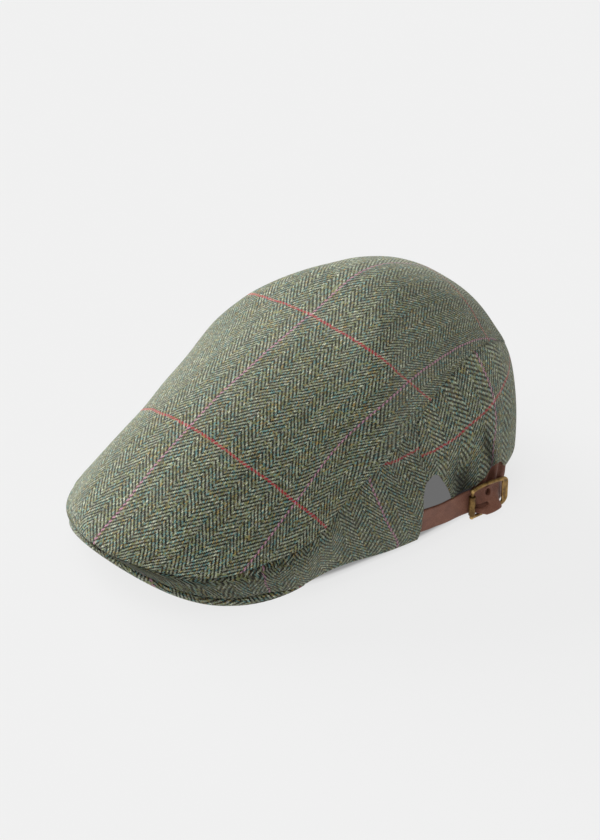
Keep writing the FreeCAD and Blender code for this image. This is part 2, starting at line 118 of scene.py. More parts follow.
# ---------------- sizes of the sewing
FRONT = 0.006              # the top panel starts and ends this close to the centres of its seam
REAR = 0.0012              # the same at the back
TOP_LAP = 0.010            # the top panel laps over the walls by this share of its half width
TOP_LIFT = 0.3             # height of the lapped edge
WALL_SINK = 0.5            # the walls sink under the lapped edge
REAR_LAP = 0.35            # share of both that is left at the rear
REAR_LAP_FADE = (0.72, 0.12)   # section where they start to shrink, and over how much
LAP_WIDTH = 5.0            # the lapped edge rises over this
SINK_WIDTH = 2.6           # and the walls sink over this
STITCH_INSET = 3.2         # topstitching, from the lapped edge
STITCH_DENT = (0.2, 0.5)   # depth and width of the line that it presses in
TOP_STITCH = (3.4, 0.6, 0.2)    # pitch, share of it that shows, radius
BAND_STITCH = (4.0, 0.62, 0.24)
BAND_STITCH_INSET = 2.5
BAND_ROLL = 0.6
STITCH_SINK = 0.1
STITCH_MARGIN = 16         # rows without topstitching at each end
SEAM_PUCKER = (0.16, 11.0, 9.0)  # height and size of the ripples along the seam, and how far they reach
BROAD_WAVE = (0.35, 75.0, 15.0)  # height and size of the crown's waves, and how far from its edge they start
SOFT_WAVE = (0.12, 28.0)
WALL_WAVE = (0.12, 26.0)
BAND_PUCKER = (0.12, 9.0, 3.0)   # height and size of the ripples, and their width at each row of stitches
FLOOR_CLEARANCE = 0.05
EDGE_ROLL = 1.3            # rounding of a folded tweed edge
HEM_DROP = (0.35, 0.44)    # sections between which the side panels come down over the end of the peak
HEM_CLEARANCE = 0.5        # of the front hem over the peak
PEAK_TAIL = 0.432          # the peak's covered edge thins out up to this section
PEAK_TAIL_HEIGHT = 0.9
PEAK_NARROWS = (0.375, 0.05, 0.9)   # section where the underside narrows, over how much and by what share
PEAK_OVERLAP = 4.0         # the bottom cover comes this far over the top
PEAK_SKIN = 0.35           # thickness of that cover
PEAK_TOP_SKIN = 1.0
PEAK_END_GAP = 0.004         # section by which top cover and board end before the peak's corners
PEAK_INSIDE = (0.10, 0.985)  # shares of the peak's depth that they take
GATHER = (0.81, 0.06, 5.0)   # section, spread and depth of the cloth that the strap draws in at the back
GATHER_ONSET = (0.74, 0.22)  # depth on the wall where it starts, and over how much it comes in
GATHERED_LINING = 3.0        # the lining is drawn in by this much less than the cloth
LINING_INSET = 0.010         # section by which the back lining stays behind the edge of the notch
INSET_ONSET = (0.3, 0.1)
INSET_END = (0.73, 0.05)
LINING_HEIGHT = 0.97         # share of the wall that is lined
LINING_DROP = (0.2, 0.45)    # depth on the wall where the lining leaves it, and over how much
LINING_WAVE = (0.15, 22.0)
CROWN_LINING = (0.1, 0.25, 30.0)   # gap, height and size of its waves
THIN_ROLL = 0.5              # rounding of lining and thin leather edges
NOTCH_CURL = (0.688, 0.016, 2.6)
CURL_ONSET = (0.55, 0.22)
SEAM_SECTION = 0.657         # the back panel's hem lies behind this section
FOLD_SPREAD = 0.075          # section over which the folds above the tab die out
FOLD_ONSET = (0.18, 0.45)
FOLD_DEPTH = 1.1
FOLD_PITCH = (0.028, 0.03)   # at the hem, and added towards the seam
FOLD_TURN = 2.2
# Painted shade on the tweed walls: darker cloth along the top seam, over the left side panel, beside the
# notch and in the fold before the tab.
SEAM_SHADE = (0.30, 1.4)     # how much darker the cloth is, and up to what distance from the seam
SIDE_SHADE = (0.17, 0.22)    # for the whole left side panel, and added on its front strip
STRIP_END = (0.42, 0.1)
HEM_SHADE = (0.80, 0.690, 0.024)     # how much, section and spread, beside the notch
HEM_SHADE_ONSET = (0.42, 0.22)
FOLD_SHADE = (0.75, 0.738, 0.010)    # the same in the fold before the tab
FOLD_SHADE_ONSET = (0.34, 0.22)
FLAP = (30.0, 47.0, 6.0)     # the strap's lower edge curls out between these y, over this run
FLAP_REACH = (7.5, 1.2)      # how far out and up
FLAP_NARROWS = 2.3
STRAP_TUCK = 4.0             # the end's upper corner goes down under the tab
STRAP_PRESS = (53.5, 4.0, 1.6)   # y, spread and reach of the part that lies against the bar
STRAP_FREE = (-4.0, 8.0)     # y where the strap comes out from the cap, and over how much it gets uneven
STRAP_WAVE = (0.18, 17.0)    # height and size of its unevenness, outwards
STRAP_SWAY = (0.35, 24.0)    # and up and down
EYELET_RIM = (0.35, 0.7, 0.6)    # height of the eyelet's rim, its distance from the hole, its width
TAB_TOP_RUN = 1.15           # the tab's upper edge reaches its rear height before the tab's end
TAB_LEAN = 0.45              # its pleats lean by this share of its width
TAB_CREASE = 0.7             # and are this square
LEATHER_ROLL = 0.7
BACKING = (0.58, 0.82, 0.6)    # shares of the strap that are double, and the second layer's thickness
BACKING_WIDTH = (0.16, 0.95)
TAB_STEP = 1.5               # how fast the tab rises from the strap on to the cloth
ARM = (1.0, 0.95)            # half width and half thickness of the buckle's arms
BAR_THICKNESS = 1.0          # half thickness of its bar
BAR_HOLLOW = 0.55
ARM_BOW = (1.2, 0.4)         # upper and lower arm
FRAME_TURN = 3.2             # radius of the middle line at the corners
FRAME_SQUARENESS = 0.8
CUTTER_REACH = 12.0

# Grids of the tweed panels: (points, length in mm) for rows and for columns
CROWN_GRID = ((330, 340), (190, 200))
SIDE_GRID = ((230, 190), (60, 40))
REAR_GRID = ((220, 215), (80, 75))
LINING_GRID = (160, 50)      # points of the back lining

# ---------------- the cloth
YARN = 0.73                # distance between yarns
COLUMN_ENDS = 14           # warp yarns in one herringbone column
CHECK_YARNS = 126          # yarns from one coloured line to the next
CHECK = CHECK_YARNS * YARN
EASE = [1.07, 1.07, 1.08, 1.11, 1.14, 1.145, 1.12, 1.29, 1.55, 1.6, 1.6]
WEFT_TILT = [(0, 38), (150, 38), (240, 12), (281, 0), (340, -12)]   # length on the centre line, degrees
RED_LINE_START = 172.9     # length along the centre line of a red line
FAR_SKEW = 0.06            # the weft runs forward by this share across the far half of the crown
NEAR_SKEW = 0.17           # and back by this share behind the middle, from NEAR_START to the left seam
NEAR_START = 84.0
NEAR_RAMP = 0.8            # share of a check over which it comes in
STRIP_SQUEEZE = 0.4        # the weave is coarser down the front strip by this share
STRIP_SQUEEZE_END = (0.37, 0.12)
PEAK_CLOTH = (-39.0, 87.0)   # place in the cloth of the peak cover's origin
SIDE_LILAC = [(0.05, 0.551), (0.315, 0.561), (0.62, 0.571), (0.95, 0.588)]   # depth, section
STRIP_LILAC = [(0.18, 0.286), (0.92, 0.363)]
BACK_LILAC = [
    (0, 0.780), (0.22, 0.776), (0.32, 0.772), (0.41, 0.766), (0.48, 0.757), (0.55, 0.746), (0.7, 0.735),
]
SIDE_RED = [(0.5, 61.5), (0.604, 61.3), (0.643, 62.1)]                       # section, height
BACK_RED = [
    (0.64, 57.5), (0.675, 56.0), (0.70, 56.5), (0.725, 58.8), (0.762, 61.5), (0.82, 66), (0.95, 67),
    (1.3, 57),
]


# ---------------- curves, as in the CAD part
def natural_spline(values, level_ends):
    values = np.array(values, float)
    last = len(values) - 1
    matrix = np.zeros((last + 1, last + 1))
    right = np.zeros(last + 1)
    for i in range(1, last):
        matrix[i, i - 1:i + 2] = (1, 4, 1)
        right[i] = 6 * (values[i + 1] - 2 * values[i] + values[i - 1])
    matrix[0, 0] = matrix[last, last] = 2
    if level_ends:
        matrix[0, 1] = matrix[last, last - 1] = 1
        right[0] = 6 * (values[1] - values[0])
        right[last] = 6 * (values[last - 1] - values[last])
    bend = np.linalg.solve(matrix, right)

    def value(share):
        place = np.clip(share, 0, 1) * last
        i = np.minimum(place.astype(int), last - 1)
        u = place - i
        v = 1 - u
        curve = (v ** 3 - v) * bend[i] + (u ** 3 - u) * bend[i + 1]
        return v * values[i] + u * values[i + 1] + curve / 6
    return value


def guide(points, kinds):
    """Curve through guide points; kinds holds 'level' or 'free' for each column."""
    splines = [natural_spline([p[k] for p in points], kinds[k] == "level") for k in range(len(kinds))]
    return lambda share: np.stack([spline(np.asarray(share, float)) for spline in splines], -1)


def along(table, place):
    """Smooth curve through a table of (place, value) rows that never overshoots them."""
    places, values = np.array(table, float).T
    slopes = np.diff(values) / np.diff(places)
    same_way = slopes[:-1] * slopes[1:] > 0
    both = np.where(same_way, slopes[:-1] + slopes[1:], 1)
    inner = np.where(same_way, 2 * slopes[:-1] * slopes[1:] / both, 0)
    tangents = np.concatenate([slopes[:1], inner, slopes[-1:]])
    place = np.clip(place, places[0], places[-1])
    i = np.clip(np.searchsorted(places, place, side="right") - 1, 0, len(slopes) - 1)
    run = places[i + 1] - places[i]
    u = (place - places[i]) / run
    start = (1 + 2 * u) * (1 - u) ** 2 * values[i] + u * (1 - u) ** 2 * run * tangents[i]
    return start + u * u * (3 - 2 * u) * values[i + 1] - u * u * (1 - u) * run * tangents[i + 1]


def smooth(x):
    x = np.clip(x, 0, 1)
    return x * x * (3 - 2 * x)


def onset(x, start_and_run):
    """0 before the start, 1 after the run."""
    start, run = start_and_run
    return smooth((x - start) / run)


def fade(x, end_and_run):
    """1 well below the end, 0 above it."""
    end, run = end_and_run
    return smooth((end - x) / run)


def length(vectors):
    return np.linalg.norm(vectors, axis=-1, keepdims=True)


def unit(vectors):
    return vectors / np.maximum(length(vectors), 1e-9)


centre_yz = guide(CENTRE_LINE, ["level", "free"])
seam_point = guide(TOP_SEAM, ["free", "level", "level"])
rim_point = guide(RIM, ["free", "level", "level"])
opening_point = guide(HEAD_OPENING, ["free", "level", "level"])
strap_route = guide(STRAP_ROUTE, ["free"] * 5)
fall_angle = natural_spline(FALL_ANGLES, True)
ease = natural_spline(EASE, True)


def centre_point(s):
    yz = centre_yz(s)
    return np.stack([0 * yz[..., 0], yz[..., 0], yz[..., 1]], -1)


def folded(q):
    """Section of a place round the cap; places on the right side run back from 1 to 2."""
    return np.where(q > 1, 2 - q, np.abs(q))


def hem_lift(s):
    return (PEAK_THICKNESS + HEM_CLEARANCE) * (1 - smooth((s - HEM_DROP[0]) / (HEM_DROP[1] - HEM_DROP[0])))


def outward(s, curve=seam_point):
    """Unit vectors in plan, square to the top seam or another curve round the left side."""
    step = 0.001
    run = curve(np.minimum(s + step, 1)) - curve(np.maximum(s - step, 0))
    flat = np.stack([run[..., 1], -run[..., 0], 0 * s], -1)
    flat = np.where((s < step)[..., None], (0.0, -1.0, 0.0), flat)
    flat = np.where((s > 1 - step)[..., None], (0.0, 1.0, 0.0), flat)
    return unit(flat)


def bezier(a, b, c, d, t):
    t = t[..., None]
    u = 1 - t
    return a * u ** 3 + 3 * b * u * u * t + 3 * c * u * t * t + d * t ** 3


def fall_direction(s):
    angle = np.radians(fall_angle(s))[..., None]
    return outward(s) * np.cos(angle) - np.array((0, 0, 1)) * np.sin(angle)


def mirrored(points, where):
    return points * np.where(where[..., None], (-1.0, 1.0, 1.0), (1.0, 1.0, 1.0))


def crown(s, w):
    top = centre_point(s)
    seam = seam_point(s)
    reach = length(seam - top)
    shoulder = top + seam * (CROWN_FULLNESS, 0, 0)
    point = bezier(top, shoulder, seam - fall_direction(s) * RIB_FULLNESS * reach, seam, np.abs(w))
    return mirrored(point, w < 0)


def wall(q, t):
    s = folded(q)
    seam = seam_point(s)
    hem = rim_point(s) + np.stack([0 * s, 0 * s, hem_lift(s)], -1)
    reach = RIB_FULLNESS * length(seam - hem)
    tuck = math.radians(RIM_TUCK)
    lean = outward(s) * math.sin(tuck) + np.array((0, 0, math.cos(tuck)))
    point = bezier(seam, seam + fall_direction(s) * reach, hem + lean * reach, hem, t)
    return mirrored(point, q > 1)


def peak(s, v):
    """Underside of the peak, from its edge at v = 0 to the forehead at v = 1."""
    side = np.abs(s)
    angle = np.minimum(side / PEAK_CORNER, 1) * math.pi / 2
    inner = np.stack([
        PEAK_INNER_WIDTH * np.sin(angle),
        PEAK_INNER_Y - PEAK_INNER_DEPTH * np.cos(angle),
        PEAK_CORNER_Z + PEAK_INNER_RISE * np.cos(angle) ** 2,
    ], -1)
    point = rim_point(side) * (1 - v[..., None]) + inner * v[..., None]
    return mirrored(point, s < 0)


def band_point(q, inset, height):
    s = folded(q)
    inward = -outward(s, opening_point)
    up = np.stack([0 * s, 0 * s, height + 0 * s], -1)
    return mirrored(opening_point(s) + inward * inset[..., None] + up, (q > 1) | (q < 0))


def strap_point(share, across, offset):
    row = strap_route(share)
    step = 0.01
    ahead = strap_route(np.minimum(share + step, 1))
    behind = strap_route(np.maximum(share - step, 0))
    slope = (ahead[..., 1] - behind[..., 1]) / (ahead[..., 0] - behind[..., 0])
    outwards = unit(np.stack([1 + 0 * slope, -slope, 0 * slope], -1))
    x = row[..., 1] + (row[..., 2] - row[..., 1]) * across
    z = row[..., 3] + (row[..., 4] - row[..., 3]) * across
    return np.stack([x, row[..., 0], z], -1) + outwards * offset


# ---------------- grids
def shares(count, run, roll):
    """Places from 0 to 1 along a run, drawn together at both ends to round the edges."""
    turn = roll / run * (1 - np.cos(np.radians((0, 25, 50, 70))))
    middle = np.linspace(roll / run, 1 - roll / run, count)
    return np.concatenate([turn, middle, 1 - turn[::-1]])


def lengths_along(grid, axis):
    steps = np.linalg.norm(np.diff(grid, axis=axis), axis=-1)
    start = np.zeros_like(np.take(steps, [0], axis=axis))
    return np.concatenate([start, np.cumsum(steps, axis=axis)], axis=axis)


def border_distances(grid):
    """Distance of each point from its grid's borders: first and last row, first and last column."""
    down = lengths_along(grid, 0)
    across = lengths_along(grid, 1)
    return down, down[-1:] - down, across, across[:, -1:] - across


def inward_normals(grid):
    normal = unit(np.cross(np.gradient(grid, axis=0), np.gradient(grid, axis=1)))
    inside = np.stack([0 * grid[..., 1], np.clip(grid[..., 1], -60, 60), 20 + 0 * grid[..., 2]], -1) - grid
    return normal * np.sign(np.sum(normal * inside))


def ripple(points, size, seed):
    """Smooth random field, about -1 to 1, with features of the given size."""
    random = np.random.default_rng(seed)
    waves = 7
    total = 0
    for _ in range(waves):
        direction = unit(random.normal(size=3)) * random.uniform(0.7, 1.4) * 2 * math.pi / size
        total = total + np.sin(points @ direction + random.uniform(0, 2 * math.pi))
    return total / math.sqrt(waves)


def bump(distance, place, width):
    return np.exp(-((distance - place) / width) ** 2)


def raised(grid, lift):
    """Grid moved outwards by lift."""
    return grid - inward_normals(grid) * lift[..., None]


def to_scene(name, data):
    made = bpy.data.objects.new(name, data)
    bpy.context.scene.collection.objects.link(made)
    return made


def turn_to(holder, direction, axis):
    holder.rotation_mode = "QUATERNION"
    holder.rotation_quaternion = direction.to_track_quat(axis, "Y")


# ---------------- meshes
def mesh_from(bm, name):
    bmesh.ops.recalc_face_normals(bm, faces=bm.faces)
    mesh = bpy.data.meshes.new(name)
    bm.to_mesh(mesh)
    bm.free()
    return mesh


def finish_piece(name, bm, material, body):
    bmesh.ops.remove_doubles(bm, verts=bm.verts, dist=SAME_PLACE)
    mesh = mesh_from(bm, name)
    mesh.polygons.foreach_set("use_smooth", [True] * len(mesh.polygons))
    piece = to_scene(name, mesh)
    mesh.materials.append(material)
    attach(piece, body)
    return piece


def mesh_piece(name, points, faces, material, cloth=None, body="cap"):
    """Piece from points in millimetres; cloth holds each point's place in the flat cloth and,
    in a third column, how much painted shade darkens it there."""
    mesh = bpy.data.meshes.new(name + "_draft")
    mesh.from_pydata((points * MM).tolist(), [], faces)
    if cloth is not None:
        layer = mesh.uv_layers.new(name="cloth")
        corners = np.zeros(len(mesh.loops), int)
        mesh.loops.foreach_get("vertex_index", corners)
        layer.data.foreach_set("uv", cloth[corners, :2].astype(np.float32).ravel())
        if cloth.shape[1] > 2:
            painted_shade = mesh.attributes.new("painted_shade", "FLOAT", "POINT")
            painted_shade.data.foreach_set("value", cloth[:, 2].astype(np.float32))
    bm = bmesh.new()
    bm.from_mesh(mesh)
    bpy.data.meshes.remove(mesh)
    return finish_piece(name, bm, material, body)


def lattice(along_rows, along_columns):
    return np.meshgrid(along_rows, along_columns, indexing="ij")


def closed(index):
    """Grid of point numbers with its first column again after the last."""
    return np.concatenate([index, index[:, :1]], axis=1)


def quads(index):
    a, b, c, d = index[:-1, :-1], index[1:, :-1], index[1:, 1:], index[:-1, 1:]
    return np.stack([a, b, c, d], -1).reshape(-1, 4)


def sheet(name, grid, thickness, material, cloth=None, roll=EDGE_ROLL, depth=0.0):
    """Closed sheet under a grid of points, with rounded edges; depth moves its outer face inwards."""
    normal = inward_normals(grid)
    near = np.minimum.reduce(border_distances(grid))
    turn = 1 - np.clip(near / roll, 0, 1)
    drop = thickness / 2 * (1 - np.sqrt(1 - turn ** 2))
    depth = np.asarray(depth + 0 * near)
    outer = grid + normal * (depth + drop)[..., None]
    inner = grid + normal * (depth + thickness - drop)[..., None]
    n, m = near.shape
    front = np.arange(n * m).reshape(n, m)
    back = front.copy()
    back[1:-1, 1:-1] = n * m + np.arange((n - 2) * (m - 2)).reshape(n - 2, m - 2)
    points = np.concatenate([outer.reshape(-1, 3), inner[1:-1, 1:-1].reshape(-1, 3)])
    faces = np.concatenate([quads(front), quads(back)[:, ::-1]]).tolist()
    if cloth is not None:
        columns = cloth.shape[-1]
        cloth = np.concatenate([cloth.reshape(-1, columns), cloth[1:-1, 1:-1].reshape(-1, columns)])
    return mesh_piece(name, points, faces, material, cloth)


def tube(name, rings, material, cloth=None, body="cap"):
    """Closed piece through rings of points, with flat ends."""
    n, m = rings.shape[:2]
    index = np.arange(n * m).reshape(n, m)
    index = closed(index)
    faces = quads(index).tolist()
    faces.append(index[0, :-1].tolist())
    faces.append(index[-1, :-1][::-1].tolist())
    if cloth is not None:
        cloth = cloth.reshape(-1, 2)
    return mesh_piece(name, rings.reshape(-1, 3), faces, material, cloth, body)


def beads(name, ends, radius, material):
    """Short round-ended rods, one for each pair of points: stitches."""
    sides = 6
    turns = np.arange(sides) * 2 * math.pi / sides
    stations = ((0.0, 0.35), (0.12, 0.85), (0.5, 1.0), (0.88, 0.85), (1.0, 0.35))
    points = []
    faces = []
    for start, end, out in ends:
        run = unit(end - start)
        side = unit(np.cross(run, out))
        first = len(points)
        for share, size in stations:
            middle = start + (end - start) * share + out * radius * 0.8 * math.sin(math.pi * share)
            for turn in turns:
                points.append(middle + (side * math.cos(turn) + out * math.sin(turn)) * radius * size)
        index = np.arange(first, len(points)).reshape(len(stations), sides)
        faces += quads(closed(index)).tolist()
        faces += [index[0].tolist(), index[-1][::-1].tolist()]
    return mesh_piece(name, np.array(points), faces, material)


def stitch_ends(points, out, pitch, share):
    """Start, end and outward direction of each stitch along a line of points."""
    run = lengths_along(points[None], 1)[0]
    starts = np.arange(pitch, run[-1] - pitch, pitch)

    def at(values, place):
        return np.stack([np.interp(place, run, values[:, k]) for k in range(3)], -1)
    return [(at(points, a), at(points, a + pitch * share), unit(at(out, a))) for a in starts]


# ---------------- materials
class Field:
    """A number that changes over a surface: one output of a shader node."""

    def __init__(self, graph, socket):
        self.graph = graph
        self.socket = socket

    def apply(self, operation, *others):
        return self.graph.math(operation, self, *others)

    def __add__(self, other):
        return self.apply("ADD", other)

    def __sub__(self, other):
        return self.apply("SUBTRACT", other)

    def __mul__(self, other):
        return self.apply("MULTIPLY", other)

    def __truediv__(self, other):
        return self.apply("DIVIDE", other)

    def floor(self):
        return self.apply("FLOOR")

    def part(self):
        return self.apply("FRACT")

    def cycle(self, count):
        return self.apply("FLOORED_MODULO", count)

    def below(self, limit):
        return self.apply("LESS_THAN", limit)

    def rest(self):
        """What is left to 1."""
        return self * -1.0 + 1.0

    def arch(self):
        """0 at 0 and 1, and 1 at a half."""
        return self * self.rest() * 4.0


class Graph:
    """A material and short names for making its nodes."""

    def __init__(self, name):
        self.material = bpy.data.materials.new(name)
        self.material.use_nodes = True
        self.tree = self.material.node_tree
        self.tree.nodes.clear()
        self.shader = self.node("ShaderNodeBsdfPrincipled")
        output = self.node("ShaderNodeOutputMaterial")
        self.tree.links.new(self.shader.outputs[0], output.inputs[0])

    def node(self, kind, **settings):
        made = self.tree.nodes.new(kind)
        for key, value in settings.items():
            setattr(made, key, value)
        return made

    def put(self, socket, value):
        if isinstance(value, Field):
            self.tree.links.new(value.socket, socket)
        elif isinstance(value, bpy.types.NodeSocket):
            self.tree.links.new(value, socket)
        else:
            socket.default_value = value

    def math(self, operation, *values):
        made = self.node("ShaderNodeMath", operation=operation)
        for socket, value in zip(made.inputs, values):
            self.put(socket, value)
        return Field(self, made.outputs[0])

    def mix(self, factor, first, second, blend="MIX"):
        made = self.node("ShaderNodeMix", data_type="RGBA", blend_type=blend)
        for place, value in ((0, factor), (6, first), (7, second)):
            self.put(made.inputs[place], (*value, 1) if isinstance(value, tuple) else value)
        return made.outputs[2]

    def shaded(self, colour, shade):
        return self.mix(1.0, colour, self.vector(shade, shade, shade), "MULTIPLY")

    def ramp(self, factor, stops, smooth_steps=True):
        made = self.node("ShaderNodeValToRGB")
        made.color_ramp.interpolation = "LINEAR" if smooth_steps else "CONSTANT"
        elements = made.color_ramp.elements
        while len(elements) < len(stops):
            elements.new(0.5)
        for element, (place, colour) in zip(elements, stops):
            element.position = place
            element.color = (*colour, 1)
        self.put(made.inputs[0], factor)
        return made.outputs[0]

    def vector(self, *fields):
        made = self.node("ShaderNodeCombineXYZ")
        for socket, value in zip(made.inputs, fields):
            self.put(socket, value)
        return made.outputs[0]

    def cloth(self):
        """Place in the flat cloth, in millimetres along the weft and along the warp."""
        place = self.node("ShaderNodeUVMap", uv_map="cloth")
        split = self.node("ShaderNodeSeparateXYZ")
        self.put(split.inputs[0], place.outputs[0])
        return Field(self, split.outputs[0]), Field(self, split.outputs[1])

    def place(self):
        """Position on the object, in metres."""
        return self.node("ShaderNodeTexCoord").outputs["Object"]

    def noise(self, vector, scale, detail=2.0, roughness=0.5):
        made = self.node("ShaderNodeTexNoise")
        self.put(made.inputs["Vector"], vector)
        made.inputs["Scale"].default_value = scale
        made.inputs["Detail"].default_value = detail
        made.inputs["Roughness"].default_value = roughness
        return Field(self, made.outputs["Fac"])

    def random(self, *fields):
        made = self.node("ShaderNodeTexWhiteNoise", noise_dimensions="2D")
        self.put(made.inputs["Vector"], self.vector(*fields))
        return Field(self, made.outputs["Value"])

    def raise_by(self, height, distance, strength=1.0):
        made = self.node("ShaderNodeBump")
        made.inputs["Strength"].default_value = strength
        made.inputs["Distance"].default_value = distance
        self.put(made.inputs["Height"], height)
        self.put(self.shader.inputs["Normal"], made.outputs[0])

    def set(self, **values):
        for key, value in values.items():
            self.put(self.shader.inputs[key.replace("_", " ")], value)


SAGE = (0.350, 0.400, 0.275)
PALE = (0.570, 0.605, 0.460)
TEAL = (0.165, 0.345, 0.325)
MOSS = (0.255, 0.275, 0.115)
OCHRE = (0.425, 0.310, 0.110)
STONE = (0.325, 0.330, 0.275)
CHARCOAL = (0.026, 0.025, 0.019)
BOTTLE = (0.028, 0.042, 0.036)
EARTH = (0.070, 0.050, 0.026)
UMBER = (0.110, 0.085, 0.045)
RED = (0.560, 0.022, 0.050)
LILAC = (0.700, 0.350, 0.480)
LINE_FUZZ = (0.40, 0.12)   # share of the red and the lilac dye that shows on the yarns over them


def tweed_material():
    g = Graph("tweed")
    u, v = g.cloth()
    drift = g.vector(u, v, 0.0)
    wobble = g.noise(drift, 0.7, detail=4.0, roughness=0.6) - 0.5
    jitter = g.noise(g.vector(v, u, 5.0), 0.7, detail=4.0, roughness=0.6) - 0.5
    u = u + (g.noise(drift, 0.05) - 0.5) * 1.6 + wobble * 1.3
    v = v + (g.noise(drift, 0.07) - 0.5) * 1.6 + jitter * 1.3
    end = (u / YARN).floor()
    pick = (v / YARN).floor()
    in_end = (u / YARN).part()
    in_pick = (v / YARN).part()
    column = ((end + 0.5) / COLUMN_ENDS).floor()
    step = end - column * COLUMN_ENDS
    leans_left = column.cycle(2.0)
    lean = leans_left * 2.0 - 1.0
    phase = (pick + lean * step).cycle(4.0)
    warp_up = phase.below(1.5)
    warp_place = (phase + in_pick) / 2.0
    toward = g.math("ADD", in_end * lean, leans_left.rest())
    weft_place = (phase - 2.0 + toward) / 2.0
    warp_height = in_end.arch().apply("SQRT") * (warp_place.arch() * 0.45 + 0.55)
    weft_height = in_pick.arch().apply("SQRT") * (weft_place.arch() * 0.45 + 0.40)
    height = g.math("ADD", warp_height * warp_up, weft_height * warp_up.rest())

    fleck = g.random(end, (v / 2.3 + g.random(end, 3.0) * 9.0).floor())
    warp = g.ramp(fleck, [
        (0.0, SAGE), (0.34, PALE), (0.50, TEAL), (0.66, MOSS), (0.80, OCHRE), (0.87, STONE),
    ], smooth_steps=False)
    float_number = ((pick + lean * step) / 4.0).floor()
    tone = g.random(end, 11.0) * 0.35 + g.random(end, float_number) * 0.75 + 0.45
    warp = g.shaded(warp, tone)
    weft_fleck = g.random(pick, (u / 2.1 + g.random(pick, 5.0) * 7.0).floor())
    weft = g.ramp(weft_fleck, [
        (0.0, CHARCOAL), (0.40, BOTTLE), (0.60, EARTH), (0.76, UMBER), (0.90, MOSS),
    ], smooth_steps=False)
    lilac = (end + 1.0).cycle(float(CHECK_YARNS)).below(1.5)
    red = (pick + 1.0).cycle(float(CHECK_YARNS)).below(1.5)
    weft_tone = g.random(pick, (u / 1.5).floor()) * 1.1 + 0.5
    weft = g.shaded(weft, weft_tone)
    red_fuzz, lilac_fuzz = LINE_FUZZ
    warp = g.mix(lilac, g.mix(red * red_fuzz, warp, RED), LILAC)
    weft = g.mix(red, g.mix(lilac * lilac_fuzz, weft, LILAC), RED)
    colour = g.mix(warp_up, weft, warp)
    wool = g.noise(g.vector(u, v, 0.0), 2.2, detail=4.0, roughness=0.7)
    # Yarns are darker where they dip under others: painted shade in the hollows of the weave; the wool noise
    # is the yarns' own tone.
    shade = (height * 0.55 + 0.45) * (wool * 0.7 + 0.65)
    patch = g.noise(drift, 0.018, detail=3.0) * 0.24 + 0.88
    # Painted shade from the walls' third cloth column darkens the colour and lowers the sheen.
    painted_shade = Field(g, g.node("ShaderNodeAttribute", attribute_name="painted_shade").outputs["Fac"])
    lit = painted_shade.rest()
    shade = shade * patch * lit
    colour = g.shaded(colour, shade)
    g.set(Base_Color=colour, Roughness=0.92, Specular_IOR_Level=0.18, Sheen_Weight=lit * 0.5,
          Sheen_Roughness=0.5, Sheen_Tint=(0.80, 0.82, 0.70, 1))
    g.raise_by(height + wool * 0.5, 0.00024)
    return g.material


def satin_material():
    g = Graph("lining")
    place = g.place()
    weave = g.noise(place, 900.0, detail=1.0)
    cloud = g.noise(place, 22.0, detail=3.0)
    crease = g.noise(place, 55.0, detail=2.0)
    colour = g.ramp(cloud, [(0.3, (0.135, 0.135, 0.14)), (0.7, (0.18, 0.18, 0.185))])
    shade = weave * 0.3 + 0.85
    colour = g.shaded(colour, shade)
    g.set(Base_Color=colour, Roughness=cloud * 0.2 + 0.38, Sheen_Weight=0.25, Anisotropic=0.4,
          Specular_IOR_Level=0.4)
    g.raise_by(crease + weave * 0.05, 0.0012)
    return g.material


def band_material():
    g = Graph("sweatband")
    u, v = g.cloth()
    ribs = ((u + v) / 0.9).part().arch()
    fuzz = g.noise(g.vector(u, v, 0.0), 1.5, detail=3.0)
    shade = ribs * 0.5 + fuzz * 0.6 + 0.3
    colour = g.shaded((0.052, 0.052, 0.056), shade)
    g.set(Base_Color=colour, Roughness=0.85, Sheen_Weight=0.2, Sheen_Roughness=0.5)
    g.raise_by(ribs + fuzz * 0.3, 0.00025)
    return g.material


def leather_material():
    g = Graph("leather")
    place = g.place()
    pores = g.noise(place, 1400.0, detail=3.0, roughness=0.65)
    grain = g.node("ShaderNodeTexVoronoi", feature="DISTANCE_TO_EDGE")
    g.put(grain.inputs["Vector"], place)
    grain.inputs["Scale"].default_value = 1150.0
    creases = Field(g, grain.outputs["Distance"])
    cloud = g.noise(place, 130.0, detail=4.0, roughness=0.6)
    colour = g.ramp(cloud, [(0.25, (0.180, 0.066, 0.038)), (0.5, (0.242, 0.096, 0.058)),
                            (0.78, (0.320, 0.146, 0.094))])
    shade = pores * 0.5 + creases * 0.8 + 0.55
    colour = g.shaded(colour, shade)
    g.set(Base_Color=colour, Roughness=cloud * 0.25 + 0.5, Specular_IOR_Level=0.35, Sheen_Weight=0.08)
    g.raise_by(creases * 0.8 + pores * 0.5, 0.00022)
    return g.material


def brass_material(name, wear_and_shade_offset, edge_wear):
    """Aged brass: dark in the hollows and rubbed bright on the edges. The share passed in brightens it all
    over; the low share of the darker copy is painted shade.
    """
    g = Graph(name)
    place = g.place()
    patina = g.noise(place, 260.0, detail=5.0, roughness=0.65)
    scratches = g.noise(place, 1800.0, detail=2.0)
    edges = Field(g, g.node("ShaderNodeNewGeometry").outputs["Pointiness"])
    wear_and_shade_level = g.math("ADD", (edges - 0.5) * edge_wear, (patina - 0.5) * 1.6) + wear_and_shade_offset
    colour = g.ramp(wear_and_shade_level, [(0.0, (0.050, 0.030, 0.013)), (0.35, (0.150, 0.088, 0.032)),
                           (0.7, (0.380, 0.235, 0.080)), (1.0, (0.600, 0.400, 0.160))])
    g.set(Base_Color=colour, Metallic=0.9, Roughness=patina * 0.3 + 0.27)
    g.raise_by(patina * 0.6 + scratches * 0.3, 0.00018)
    return g.material


